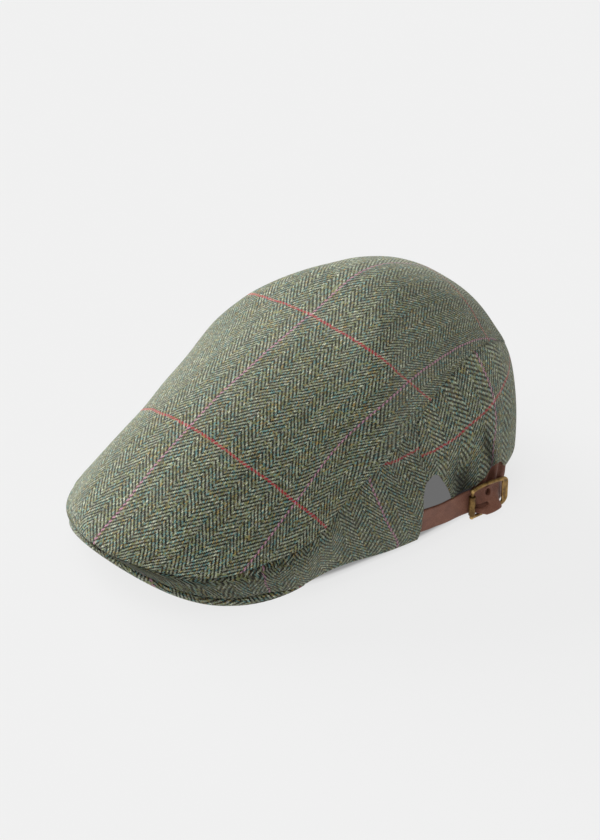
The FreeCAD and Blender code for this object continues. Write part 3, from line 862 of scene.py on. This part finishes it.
def board_material():
    g = Graph("board")
    speckle = g.noise(g.place(), 700.0, detail=3.0)
    colour = g.ramp(speckle, [(0.3, (0.66, 0.65, 0.61)), (0.7, (0.78, 0.77, 0.73))])
    g.set(Base_Color=colour, Roughness=speckle * 0.2 + 0.55)
    g.raise_by(speckle, 0.0002)
    return g.material


def thread_material():
    g = Graph("thread")
    twist = g.noise(g.place(), 1600.0, detail=2.0)
    colour = g.ramp(twist, [(0.3, (0.13, 0.145, 0.10)), (0.7, (0.27, 0.29, 0.21))])
    g.set(Base_Color=colour, Roughness=0.8, Sheen_Weight=0.3)
    g.raise_by(twist, 0.0002)
    return g.material


tweed = tweed_material()
satin = satin_material()
twill = band_material()
leather = leather_material()
brass = brass_material("brass", 0.42, 7.0)
# A darker copy of the brass for the pin and prong: painted shade, with less edge wear because the coarse CAD
# meshes would overdo it.
shaded_brass = brass_material("shaded_brass", 0.25, 1.0)
board = board_material()
thread = thread_material()


# ---------------- places of the cloth
CENTRE_SHARES = np.linspace(0, 1, 241)
CENTRE_POINTS = centre_point(CENTRE_SHARES)
CENTRE_RUN = lengths_along(CENTRE_POINTS[None], 1)[0]


def crown_cloth(grid, s):
    """Cloth places of the top panel: across from the centre line, and the centre line's length
    where the plane of the weft yarn meets it."""
    across = lengths_along(grid, 1)
    middle = (across[:, -1:]) / 2
    u = (across - middle) * ease(s)[:, :1]
    tilt = np.radians(along(WEFT_TILT, CENTRE_RUN))
    v = np.zeros(grid.shape[:2])
    for i in range(grid.shape[0]):
        gap = grid[i][:, None, 1:] - CENTRE_POINTS[None, :, 1:]
        past = gap[..., 0] * np.cos(tilt) + gap[..., 1] * np.sin(tilt)
        k = np.clip((past > 0).sum(axis=1) - 1, 0, len(tilt) - 2)
        row = np.arange(grid.shape[1])
        share = past[row, k] / np.maximum(past[row, k] - past[row, k + 1], 1e-6)
        v[i] = CENTRE_RUN[k] + share * (CENTRE_RUN[k + 1] - CENTRE_RUN[k])
    near = NEAR_SKEW * np.maximum(u - NEAR_START, 0) * smooth((v - CHECK) / (NEAR_RAMP * CHECK))
    v = v - RED_LINE_START - FAR_SKEW * np.minimum(u, 0) - near
    return np.stack([u, v], -1)


GIRTH_SHARES = np.linspace(0, 2, 801)
GIRTH = lengths_along(wall(GIRTH_SHARES, 0.5 + 0 * GIRTH_SHARES)[None], 1)[0]


def girth(q):
    """Length round the cap, halfway down the wall."""
    return np.interp(q, GIRTH_SHARES, GIRTH)


def height_on_wall(q, t):
    """Length up the wall from the rim."""
    turns = np.linspace(0, 1, 13)
    rest = t[..., None] + (1 - t[..., None]) * turns
    points = wall(q[..., None] + 0 * rest, rest)
    return np.sum(np.linalg.norm(np.diff(points, axis=-2), axis=-1), axis=-1)


def side_cloth(q, t):
    q = folded(q)
    first = girth(along(SIDE_LILAC, t))
    second = girth(along(STRIP_LILAC, t))
    u = CHECK * (girth(q) - first) / (first - second)
    height = height_on_wall(q, t) * (1 - STRIP_SQUEEZE * fade(q, STRIP_SQUEEZE_END))
    return np.stack([u, height - along(SIDE_RED, q)], -1)


def back_cloth(q, t):
    u = girth(q) - girth(along(BACK_LILAC, t))
    return np.stack([u, height_on_wall(q, t) - along(BACK_RED, q)], -1)


# ---------------- tweed panels
def rear_lap(s):
    return 1 - (1 - REAR_LAP) * onset(s, REAR_LAP_FADE)


def top_panel():
    long_way, cross_way = CROWN_GRID
    s = FRONT + (1 - FRONT - REAR) * shares(*long_way, EDGE_ROLL)
    w = (2 * shares(*cross_way, EDGE_ROLL) - 1) * (1 + TOP_LAP)
    s, w = lattice(s, w)
    grid = crown(s, w)
    cloth = crown_cloth(grid, s)
    edge = np.minimum.reduce(border_distances(grid)[2:])
    dent, dent_width = STITCH_DENT
    lift = TOP_LIFT * rear_lap(s) * bump(edge, 0, LAP_WIDTH) - dent * bump(edge, STITCH_INSET, dent_width)
    pucker, size, reach = SEAM_PUCKER
    lift = lift + pucker * ripple(grid, size, 3) * bump(edge, 0, reach)
    wave, size, reach = BROAD_WAVE
    lift = lift + wave * ripple(grid, size, 5) * smooth(edge / reach)
    wave, size = SOFT_WAVE
    lift = lift + wave * ripple(grid, size, 6)
    shaped = raised(grid, lift)
    piece = sheet("top_cloth", shaped, CLOTH, tweed, cloth)
    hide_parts("top_panel")
    return shaped


def wall_panel(name, node, q, t, cloth):
    grid = wall(q, t)
    down = lengths_along(grid, 1)
    sink = WALL_SINK * rear_lap(folded(q)) * bump(down, 0, SINK_WIDTH)
    wave, size = WALL_WAVE
    lift = wave * ripple(grid, size, 8) + folds(q, t) - sink - gather(q, t) - notch_curl(q, t)
    shaped = raised(grid, lift)
    shaped[..., 2] = np.maximum(shaped[..., 2], FLOOR_CLEARANCE)
    # the painted shade goes along as a third cloth column
    cloth = np.concatenate([cloth, painted_shading(q, t, down)[..., None]], -1)
    piece = sheet(name, shaped, CLOTH, tweed, cloth)
    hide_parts(node)


def painted_shading(q, t, down):
    """Painted shade: cloth is darker along the seam, on the left side panel, beside the notch and in the
    folds by the tab.
    """
    most, width = SEAM_SHADE
    seam = most * bump(down, 0, width)
    panel, strip = SIDE_SHADE
    side = (panel + strip * fade(q, STRIP_END)) * (q < SEAM_SECTION)
    most, section, spread = HEM_SHADE
    hem = most * bump(q, section, spread) * onset(t, HEM_SHADE_ONSET)
    most, section, spread = FOLD_SHADE
    return seam + side + hem + most * bump(q, section, spread) * onset(t, FOLD_SHADE_ONSET)


def gather(q, t):
    """How far the cloth is drawn in by the strap, beside the tab."""
    section, spread, depth = GATHER
    return depth * bump(q, section, spread) * onset(t, GATHER_ONSET)


def notch_curl(q, t):
    """The back panel's hem turns in beside the notch."""
    section, spread, depth = NOTCH_CURL
    return depth * bump(q, section, spread) * onset(t, CURL_ONSET) * (q > SEAM_SECTION)


def folds(q, t):
    """The back panel is drawn together above the tab, into folds that fade out upwards."""
    middle = (TAB_SPAN[0] + TAB_SPAN[1]) / 2
    reach = bump(q, middle, FOLD_SPREAD) * onset(t, FOLD_ONSET)
    pitch, added = FOLD_PITCH
    return FOLD_DEPTH * reach * np.cos((q - middle) / (pitch + added * (1 - t)) * FOLD_TURN)


def side_places(rear_edge, right_side):
    round_way, down_way = SIDE_GRID
    u, t = lattice(shares(*round_way, EDGE_ROLL), shares(*down_way, EDGE_ROLL))
    q = along(rear_edge, t) * u
    return (2 - q if right_side else q), t


def rear_places(bottom, roll, counts):
    round_way, down_way = [shares(count, run, roll) for count, (_, run) in zip(counts, REAR_GRID)]
    u, share = lattice(round_way, down_way)
    lowest = NOTCH_REAR[-1][0]
    start = along(SIDE_SEAM_TO_NOTCH + NOTCH_REAR, share * lowest)
    end = 2 - along(SIDE_SEAM_RIGHT, share)
    q = start + (end - start) * u
    return q, share * along(REAR_HEM, q) * bottom


def walls():
    left_edge = SIDE_SEAM_TO_NOTCH + NOTCH_FRONT
    q, t = side_places(left_edge, False)
    wall_panel("side_cloth_left", "side_panel_left", q, t, side_cloth(q, t))
    q, t = side_places(SIDE_SEAM_RIGHT, True)
    wall_panel("side_cloth_right", "side_panel_right", q, t, side_cloth(q, t))
    q, t = rear_places(1.0, EDGE_ROLL, [count for count, _ in REAR_GRID])
    wall_panel("back_cloth", "back_panel", q, t, back_cloth(q, t))


# ---------------- peak
def peak_cover():
    """Bottom cover of the peak: under it, round its edge and a little way over the top."""
    s = PEAK_TAIL * np.linspace(-1, 1, 241)
    side = np.abs(s)
    thins = smooth((side - HEM_DROP[0]) / (PEAK_TAIL - HEM_DROP[0]))
    height = PEAK_TAIL_HEIGHT + (PEAK_THICKNESS - PEAK_TAIL_HEIGHT) * (1 - thins)
    reach = 1 - PEAK_NARROWS[2] * onset(side, PEAK_NARROWS[:2])
    out = mirrored(outward(side), s < 0)
    under = np.linspace(1, 0.045, 46)
    turns = np.radians(np.linspace(-90, 90, 13))
    over = np.linspace(0, PEAK_OVERLAP, 5)[1:]
    rim = peak(s, 0 * s)

    def profile(cloth_inset):
        rings = []
        flat = []
        half = height / 2
        for v in under:
            point = peak(s, v * reach)
            rings.append(point + np.array((0, 0, 1)) * cloth_inset)
            flat.append(point[..., :2])
        for turn in turns:
            inset = half * (1 - math.cos(turn)) + cloth_inset * math.cos(turn)
            rise = half + (half - cloth_inset) * math.sin(turn)
            rings.append(rim - out * inset[:, None] + np.stack([0 * s, 0 * s, rise], -1))
            flat.append((rim + out * (half * (turn + math.pi / 2))[:, None])[..., :2])
        for run in over:
            inset = half + run
            rings.append(rim - out * inset[:, None] + np.stack([0 * s, 0 * s, height - cloth_inset], -1))
            flat.append((rim + out * (half * math.pi + run)[:, None])[..., :2])
        return rings, flat
    outer, outer_flat = profile(0.0)
    inner, inner_flat = profile(PEAK_SKIN)
    rings = np.stack(outer + inner[::-1], axis=1)
    cloth = np.stack(outer_flat + inner_flat[::-1], axis=1)
    cloth = cloth + np.array(PEAK_CLOTH)
    piece = tube("peak_cloth_bottom", rings, tweed, cloth)
    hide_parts("peak_cover_bottom")


def peak_inside():
    end = PEAK_CORNER - PEAK_END_GAP
    s, v = lattice(end * np.linspace(-1, 1, 91), np.linspace(*PEAK_INSIDE, 24))
    up = np.array((0, 0, 1))
    top = peak(s, v) + up * PEAK_THICKNESS
    piece = sheet("peak_cloth_top", top, PEAK_TOP_SKIN, tweed, top[..., :2].copy(), roll=0.8)
    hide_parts("peak_cover_top")
    core = peak(s, v) + up * (PEAK_THICKNESS - PEAK_COVER)
    piece = sheet("peak_core", core, PEAK_THICKNESS - 2 * PEAK_COVER, board, roll=1.0)
    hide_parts("peak_board")


# ---------------- linings and sweatband
def wall_lining(name, node, q, t):
    depth = LINING_DEPTH_TOP + (LINING_DEPTH_RIM - LINING_DEPTH_TOP) * onset(t, LINING_DROP)
    grid = wall(q, t)
    drawn = gather(q, t)
    wave, size = LINING_WAVE
    depth = depth + wave * ripple(grid, size, 12) + drawn - GATHERED_LINING * drawn / GATHER[2]
    piece = sheet(name, grid, LINING, satin, roll=THIN_ROLL, depth=depth)
    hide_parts(node)


def linings():
    s = np.linspace(LINING_FRONT, 1 - FRONT, 150)
    w = np.linspace(-1, 1, 90)
    s, w = lattice(s, w)
    grid = crown(s, w)
    gap, wave, size = CROWN_LINING
    waves = wave * (1 + ripple(grid, size, 14)) * smooth((1 - np.abs(w)) * 6)
    depth = LINING_DEPTH_TOP + gap + waves
    piece = sheet("crown_lining", grid, LINING, satin, roll=THIN_ROLL, depth=depth)
    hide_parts("lining_top")
    left_edge = SIDE_SEAM_TO_NOTCH + NOTCH_FRONT
    for name, node, edge, right_side in (
            ("side_lining_left", "lining_left", left_edge, False),
            ("side_lining_right", "lining_right", SIDE_SEAM_RIGHT, True)):
        u, t = lattice(np.linspace(0, 1, 60), np.linspace(0, 1, 50))
        q = LINING_SIDE_START + (along(edge, t) - LINING_SIDE_START) * u
        wall_lining(name, node, 2 - q if right_side else q, t * LINING_HEIGHT)
    q, t = rear_places(LINING_HEIGHT, THIN_ROLL, LINING_GRID)
    q = q + LINING_INSET * onset(t, INSET_ONSET) * fade(q, INSET_END)
    wall_lining("back_lining", "lining_back", q, t)
    forehead_lining()


def forehead_lining():
    w, v = lattice(np.linspace(-1, 1, 91), np.linspace(0, 1, 30))
    s = LINING_FRONT + 0 * w
    edge = crown(s, w)
    inner = inward_normals(crown(*lattice(LINING_FRONT + np.array((-0.01, 0, 0.01)), w[:, 0])))[1][:, None]
    top = edge + inner * (LINING_DEPTH_TOP + LINING)
    q = np.abs(w) / 3
    foot = mirrored(band_point(q, -LINING - GAP + 0 * q, BAND_HEIGHT + GAP), w < 0)
    grid = foot + (top - (0, 0, GAP) - foot) * v[..., None]
    piece = sheet("forehead_lining", grid, LINING, satin, roll=THIN_ROLL)
    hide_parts("lining_front")


def sweatband():
    u, v = lattice(shares(420, 480, BAND_ROLL), shares(30, BAND_HEIGHT, BAND_ROLL))
    q = BAND_LEFT_END + (BAND_REAR_END - 2 - BAND_LEFT_END) * u
    grid = band_point(np.abs(q), 0 * q, BAND_HEIGHT * v)
    grid = mirrored(grid, q < 0)
    across = v * BAND_HEIGHT
    rows = (BAND_STITCH_INSET, BAND_HEIGHT - BAND_STITCH_INSET)
    height, size, width = BAND_PUCKER
    pucker = height * ripple(grid, size, 21) * (bump(across, rows[0], width) + bump(across, rows[1], width))
    grid = raised(grid, -pucker)
    run = lengths_along(grid, 0)
    cloth = np.stack([run, across], -1)
    piece = sheet("head_band", grid, BAND, twill, cloth, roll=BAND_ROLL)
    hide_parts("sweatband")
    ends = []
    pitch, shown, radius = BAND_STITCH
    for height in rows:
        row = int(np.argmin(np.abs(v[0] * BAND_HEIGHT - height)))
        normal = inward_normals(grid)[:, row]
        ends += stitch_ends(grid[:, row] + normal * BAND, normal, pitch, shown)
    beads("band_stitches", ends, radius, thread)


# ---------------- leather
def cut_holes(piece, cutters):
    for cutter in cutters:
        change = piece.modifiers.new("hole", "BOOLEAN")
        change.operation = "DIFFERENCE"
        change.solver = "EXACT"
        change.object = cutter
    bpy.context.view_layer.update()
    cut = bpy.data.meshes.new_from_object(piece.evaluated_get(bpy.context.evaluated_depsgraph_get()))
    piece.modifiers.clear()
    piece.data = cut
    for cutter in cutters:
        bpy.data.objects.remove(cutter)


def rod(y, z, half_length, half_height, sides=28):
    """Cutter along X with rounded ends, seen from the side."""
    turns = np.arange(sides) * 2 * math.pi / sides
    bm = bmesh.new()
    rings = []
    for x in (PIN[0] - CUTTER_REACH, PIN[0] + CUTTER_REACH):
        ring = []
        for turn in turns:
            shift = half_length if math.cos(turn) > 0 else -half_length
            place = (x, y + shift + half_height * math.cos(turn), z + half_height * math.sin(turn))
            ring.append(bm.verts.new([c * MM for c in place]))
        rings.append(ring)
    for i in range(sides):
        j = (i + 1) % sides
        bm.faces.new((rings[0][i], rings[0][j], rings[1][j], rings[1][i]))
    bm.faces.new(rings[0][::-1])
    bm.faces.new(rings[1])
    return to_scene("cutter", mesh_from(bm, "cutter"))


def flap(y, across):
    """How far the strap's lower edge curls out."""
    first, last, run = FLAP
    reach, rise = FLAP_REACH
    curl = smooth((y - first) / run) * (1 - smooth((y - last) / run)) * (1 - across) ** FLAP_NARROWS
    middle, spread, press = STRAP_PRESS
    pressed = bump(y, middle, spread) * (1 - 0.5 * across)
    tucked = STRAP_TUCK * across * smooth((y - middle + spread) / (2 * spread))
    out = curl * reach + pressed * press
    return np.stack([out, 0 * y, curl * rise - tucked], -1)


def strap():
    share, across = lattice(shares(170, 90, LEATHER_ROLL), shares(26, 14, LEATHER_ROLL))
    grid = strap_point(share, across, STRAP_THICKNESS / 2)
    y = grid[..., 1]
    hole = np.hypot(y - STRAP_HOLE[0], grid[..., 2] - STRAP_HOLE[1])
    rim, away, width = EYELET_RIM
    wave, size = STRAP_WAVE
    lift = rim * bump(hole, STRAP_HOLE_RADIUS + away, width) + wave * ripple(grid, size, 31)
    grid = raised(grid, lift * onset(y, STRAP_FREE))
    sway, size = STRAP_SWAY
    grid[..., 2] = grid[..., 2] + sway * ripple(grid * (0, 1, 0), size, 33) * onset(y, STRAP_FREE)
    grid = grid + flap(y, across)
    piece = sheet("strap_leather", grid, STRAP_THICKNESS, leather, roll=LEATHER_ROLL)
    near, far = SLOT_LENGTH
    slot = rod(PIN[1] + (near + far) / 2, PIN[2] + TONGUE_Z, (far - near) / 2, SLOT_HALF_HEIGHT)
    eyelet = rod(STRAP_HOLE[0], STRAP_HOLE[1], 0.0, STRAP_HOLE_RADIUS)
    cut_holes(piece, [slot, eyelet])
    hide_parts("strap")
    strap_backing()


def strap_backing():
    """Second layer of leather, seen through the slot and the eyelet."""
    first, last, thickness = BACKING
    share, across = lattice(np.linspace(first, last, 40), np.linspace(*BACKING_WIDTH, 14))
    grid = strap_point(share, across, -STRAP_THICKNESS / 2 - GAP)
    grid = grid + flap(grid[..., 1], across)
    piece = sheet("strap_backing", grid, thickness, leather, roll=THIN_ROLL)
    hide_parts("strap")


def strap_tab():
    front, rear = TAB_SPAN
    u, v = lattice(shares(150, 28, THIN_ROLL), shares(30, 10, THIN_ROLL))
    q = front + (rear + TAB_SPREAD * (1 - v) - front) * u
    top = TAB_TOP[0] + (TAB_TOP[1] - TAB_TOP[0]) * smooth(TAB_TOP_RUN * u)
    t = TAB_BOTTOM + (top - TAB_BOTTOM) * v
    grid = wall(q, t)
    pleat = np.sin(2 * math.pi * TAB_PLEATS * (u - TAB_LEAN * v))
    depth = (CLOTH + GAP) * smooth(TAB_STEP * v) + gather(q, t) * smooth(v)
    depth = depth + TAB_PLEAT_DEPTH * (1 - np.sign(pleat) * np.abs(pleat) ** TAB_CREASE)
    piece = sheet("tab_leather", grid, TAB_THICKNESS, leather, roll=THIN_ROLL, depth=depth)
    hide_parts("strap_tab")


# ---------------- buckle
def frame_path():
    """Middle line of the frame from the upper ball round to the lower one, as (y, z) from the pin,
    and how far each place belongs to the bar, from 0 to 1."""
    bar_y = FRAME_LENGTH - FRAME_BAR / 2
    corner_y = bar_y - FRAME_TURN
    top = FRAME_HALF_HEIGHT - ARM[0]
    arm = np.concatenate([BALL_RADIUS * np.linspace(-0.97, 0.9, 9), np.linspace(1.6, corner_y, 18)[:-1]])
    turn = np.radians(np.linspace(90, 0, 9))
    halves = []
    for side, bow in zip((1, -1), ARM_BOW):
        share = np.clip(arm / corner_y, 0, 1)
        arm_z = PIN_HALF_LENGTH + (top - PIN_HALF_LENGTH) * share + bow * np.sin(math.pi * share ** 0.8)
        y = np.concatenate([arm, corner_y + FRAME_TURN * np.cos(turn), np.full(5, bar_y)])
        corner_z = top - FRAME_TURN
        corner = corner_z + FRAME_TURN * np.sin(turn)
        z = np.concatenate([arm_z, corner, corner_z * np.linspace(0.8, 0.0, 5)])
        bar = np.concatenate([0 * arm, smooth(np.linspace(0.1, 0.95, 9)), np.ones(5)])
        halves.append(np.stack([y, side * z, bar], -1))
    path = np.concatenate([halves[0], halves[1][-2::-1]])
    return path[:, :2], path[:, 2]


def buckle_frame():
    path, bar = frame_path()
    ahead = unit(np.gradient(path, axis=0))
    square = np.stack([-ahead[:, 1], ahead[:, 0]], -1)
    half_width = ARM[0] + (FRAME_BAR / 2 - ARM[0]) * bar
    half_thickness = ARM[1] + (BAR_THICKNESS - ARM[1]) * bar
    from_end = np.clip(path[:, 0], -BALL_RADIUS, BALL_RADIUS)
    ball = np.where(bar > 0, 0, np.sqrt(BALL_RADIUS ** 2 - from_end ** 2))
    ended = path[:, 0] < 0
    half_width = np.where(ended, ball, np.maximum(half_width, ball))
    half_thickness = np.where(ended, ball, np.maximum(half_thickness, ball))
    turns = np.linspace(0, 2 * math.pi, 21)[:-1]
    across = np.sign(np.cos(turns)) * np.abs(np.cos(turns)) ** FRAME_SQUARENESS
    above = np.sign(np.sin(turns)) * np.abs(np.sin(turns)) ** FRAME_SQUARENESS
    hollow = BAR_HOLLOW * bar[:, None] * (1 - across ** 2) * (above > 0)
    in_plane = half_width[:, None] * across
    x = half_thickness[:, None] * above - hollow
    yz = path[:, None] + square[:, None] * in_plane[..., None]
    rings = np.concatenate([x[..., None], yz], -1) + np.array(PIN)
    piece = tube("frame_casting", rings, brass, body="frame")
    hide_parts("buckle_frame")


# ---------------- stitching
def topstitching(shaped):
    edge = border_distances(shaped)
    pitch, shown, radius = TOP_STITCH
    ends = []
    normal = inward_normals(shaped)
    for side in (2, 3):
        columns = np.argmin(np.abs(edge[side] - STITCH_INSET), axis=1)
        rows = np.arange(shaped.shape[0])
        keep = slice(STITCH_MARGIN, -STITCH_MARGIN)
        line = shaped[rows, columns][keep]
        out = -normal[rows, columns][keep]
        ends += stitch_ends(line - out * STITCH_SINK, out, pitch, shown)
    beads("top_stitches", ends, radius, thread)


# ---------------- stage
ROOM_LIGHT = (0.32, -0.09)
FLOOR_COLOUR = 0.08
FLOOR_GLOW = (0.145, 0.783)     # glow under the cap, a painted shadow, and round it
SHADOW_OUTLINE = 1.05           # size of the shaded place under the cap, against the head opening
SHADOW_EDGE = ((0.9, 0.0), (1.0, 0.25), (1.03, 0.8), (1.07, 0.97), (1.2, 1.0), (80.0, 1.0))
LAMPS = (("key", (-0.966, -0.063, 0.252), 4.9, 50), ("top", (-0.10, -0.35, 0.93), 1.3, 60))


def floor_material():
    g = Graph("floor")
    away = g.node("ShaderNodeAttribute", attribute_name="away")
    shade = Field(g, away.outputs["Fac"])
    grain = g.noise(g.place(), 40.0) * 0.004
    low, high = FLOOR_GLOW
    g.set(Base_Color=(FLOOR_COLOUR, FLOOR_COLOUR, FLOOR_COLOUR, 1), Roughness=0.9, Specular_IOR_Level=0.0)
    g.put(g.shader.inputs["Emission Color"], (1.0, 1.0, 1.0, 1.0))
    # Glow low under the cap and rising past its edge: a painted shadow on the floor.
    g.put(g.shader.inputs["Emission Strength"], shade * (high - low) + low + grain)
    return g.material


def floor_piece():
    """Flat floor made of rings round the head opening; "away" is 0 under the cap and 1 away from it, and
    where it is low the floor glows less: a painted shadow.
    """
    turns = np.linspace(0, 2, 97)[:-1]
    outline = opening_point(folded(turns)) * (SHADOW_OUTLINE, SHADOW_OUTLINE, 0)
    outline = mirrored(outline, turns > 1)
    rings = np.stack([outline * size for size, _ in SHADOW_EDGE])
    points = np.concatenate([rings.reshape(-1, 3), np.zeros((1, 3))])
    count = len(turns)
    index = np.arange(rings.shape[0] * count).reshape(-1, count)
    index = closed(index)
    faces = quads(index).tolist()
    faces += [[index[0, i + 1], index[0, i], len(points) - 1] for i in range(count)]
    mesh = bpy.data.meshes.new("floor")
    mesh.from_pydata((points * MM).tolist(), [], faces)
    values = np.repeat([value for _, value in SHADOW_EDGE], count)
    away = mesh.attributes.new("away", "FLOAT", "POINT")
    away.data.foreach_set("value", np.append(values, 0.0).astype(np.float32))
    floor = to_scene("floor", mesh)
    mesh.materials.append(floor_material())


def light_from_everywhere(tree):
    """Even light, a little stronger from the -X side."""
    middle, slope = ROOM_LIGHT
    direction = tree.nodes.new("ShaderNodeTexCoord")
    split = tree.nodes.new("ShaderNodeSeparateXYZ")
    strength = tree.nodes.new("ShaderNodeMath")
    strength.operation = "MULTIPLY_ADD"
    strength.inputs[1].default_value = slope
    strength.inputs[2].default_value = middle
    tree.links.new(direction.outputs["Generated"], split.inputs[0])
    tree.links.new(split.outputs[0], strength.inputs[0])
    background = tree.nodes["Background"]
    background.inputs[0].default_value = (1, 1, 1, 1)
    tree.links.new(strength.outputs[0], background.inputs[1])


def stage():
    floor_piece()
    world = bpy.data.worlds.new("studio")
    world.use_nodes = True
    light_from_everywhere(world.node_tree)
    bpy.context.scene.world = world
    for name, direction, strength, spread in LAMPS:
        lamp = bpy.data.lights.new(name, "SUN")
        lamp.energy = strength
        lamp.angle = math.radians(spread)
        turn_to(to_scene(name, lamp), Vector(direction), "Z")


AZIMUTH = 49.85
ELEVATION = 30.05
DISTANCE = 1.300
AIM = (0.00608, -0.03215, 0.05425)
LENS = 101.96
SENSOR = 36.0
NEAREST = 0.01
FARTHEST = 50.0


def camera():
    a = math.radians(AZIMUTH)
    e = math.radians(ELEVATION)
    back = Vector((math.sin(a) * math.cos(e), -math.cos(a) * math.cos(e), math.sin(e)))
    data = bpy.data.cameras.new("camera")
    data.lens = LENS
    data.sensor_width = SENSOR
    data.clip_start = NEAREST
    data.clip_end = FARTHEST
    holder = to_scene("camera", data)
    holder.location = Vector(AIM) + back * DISTANCE
    turn_to(holder, -back, "-Z")
    bpy.context.scene.camera = holder


topstitching(top_panel())
walls()
peak_cover()
peak_inside()
linings()
sweatband()
strap()
strap_tab()
buckle_frame()
# Pin and prong take the darker brass: painted shade, as they lie in shadow in the frame.
for node in ("buckle_pin", "buckle_prong"):
    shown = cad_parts[node]
    shown.data.materials.clear()
    shown.data.materials.append(shaded_brass)
stage()
camera()
bpy.context.scene.view_settings.view_transform = "Standard"
bpy.context.view_layer.update()
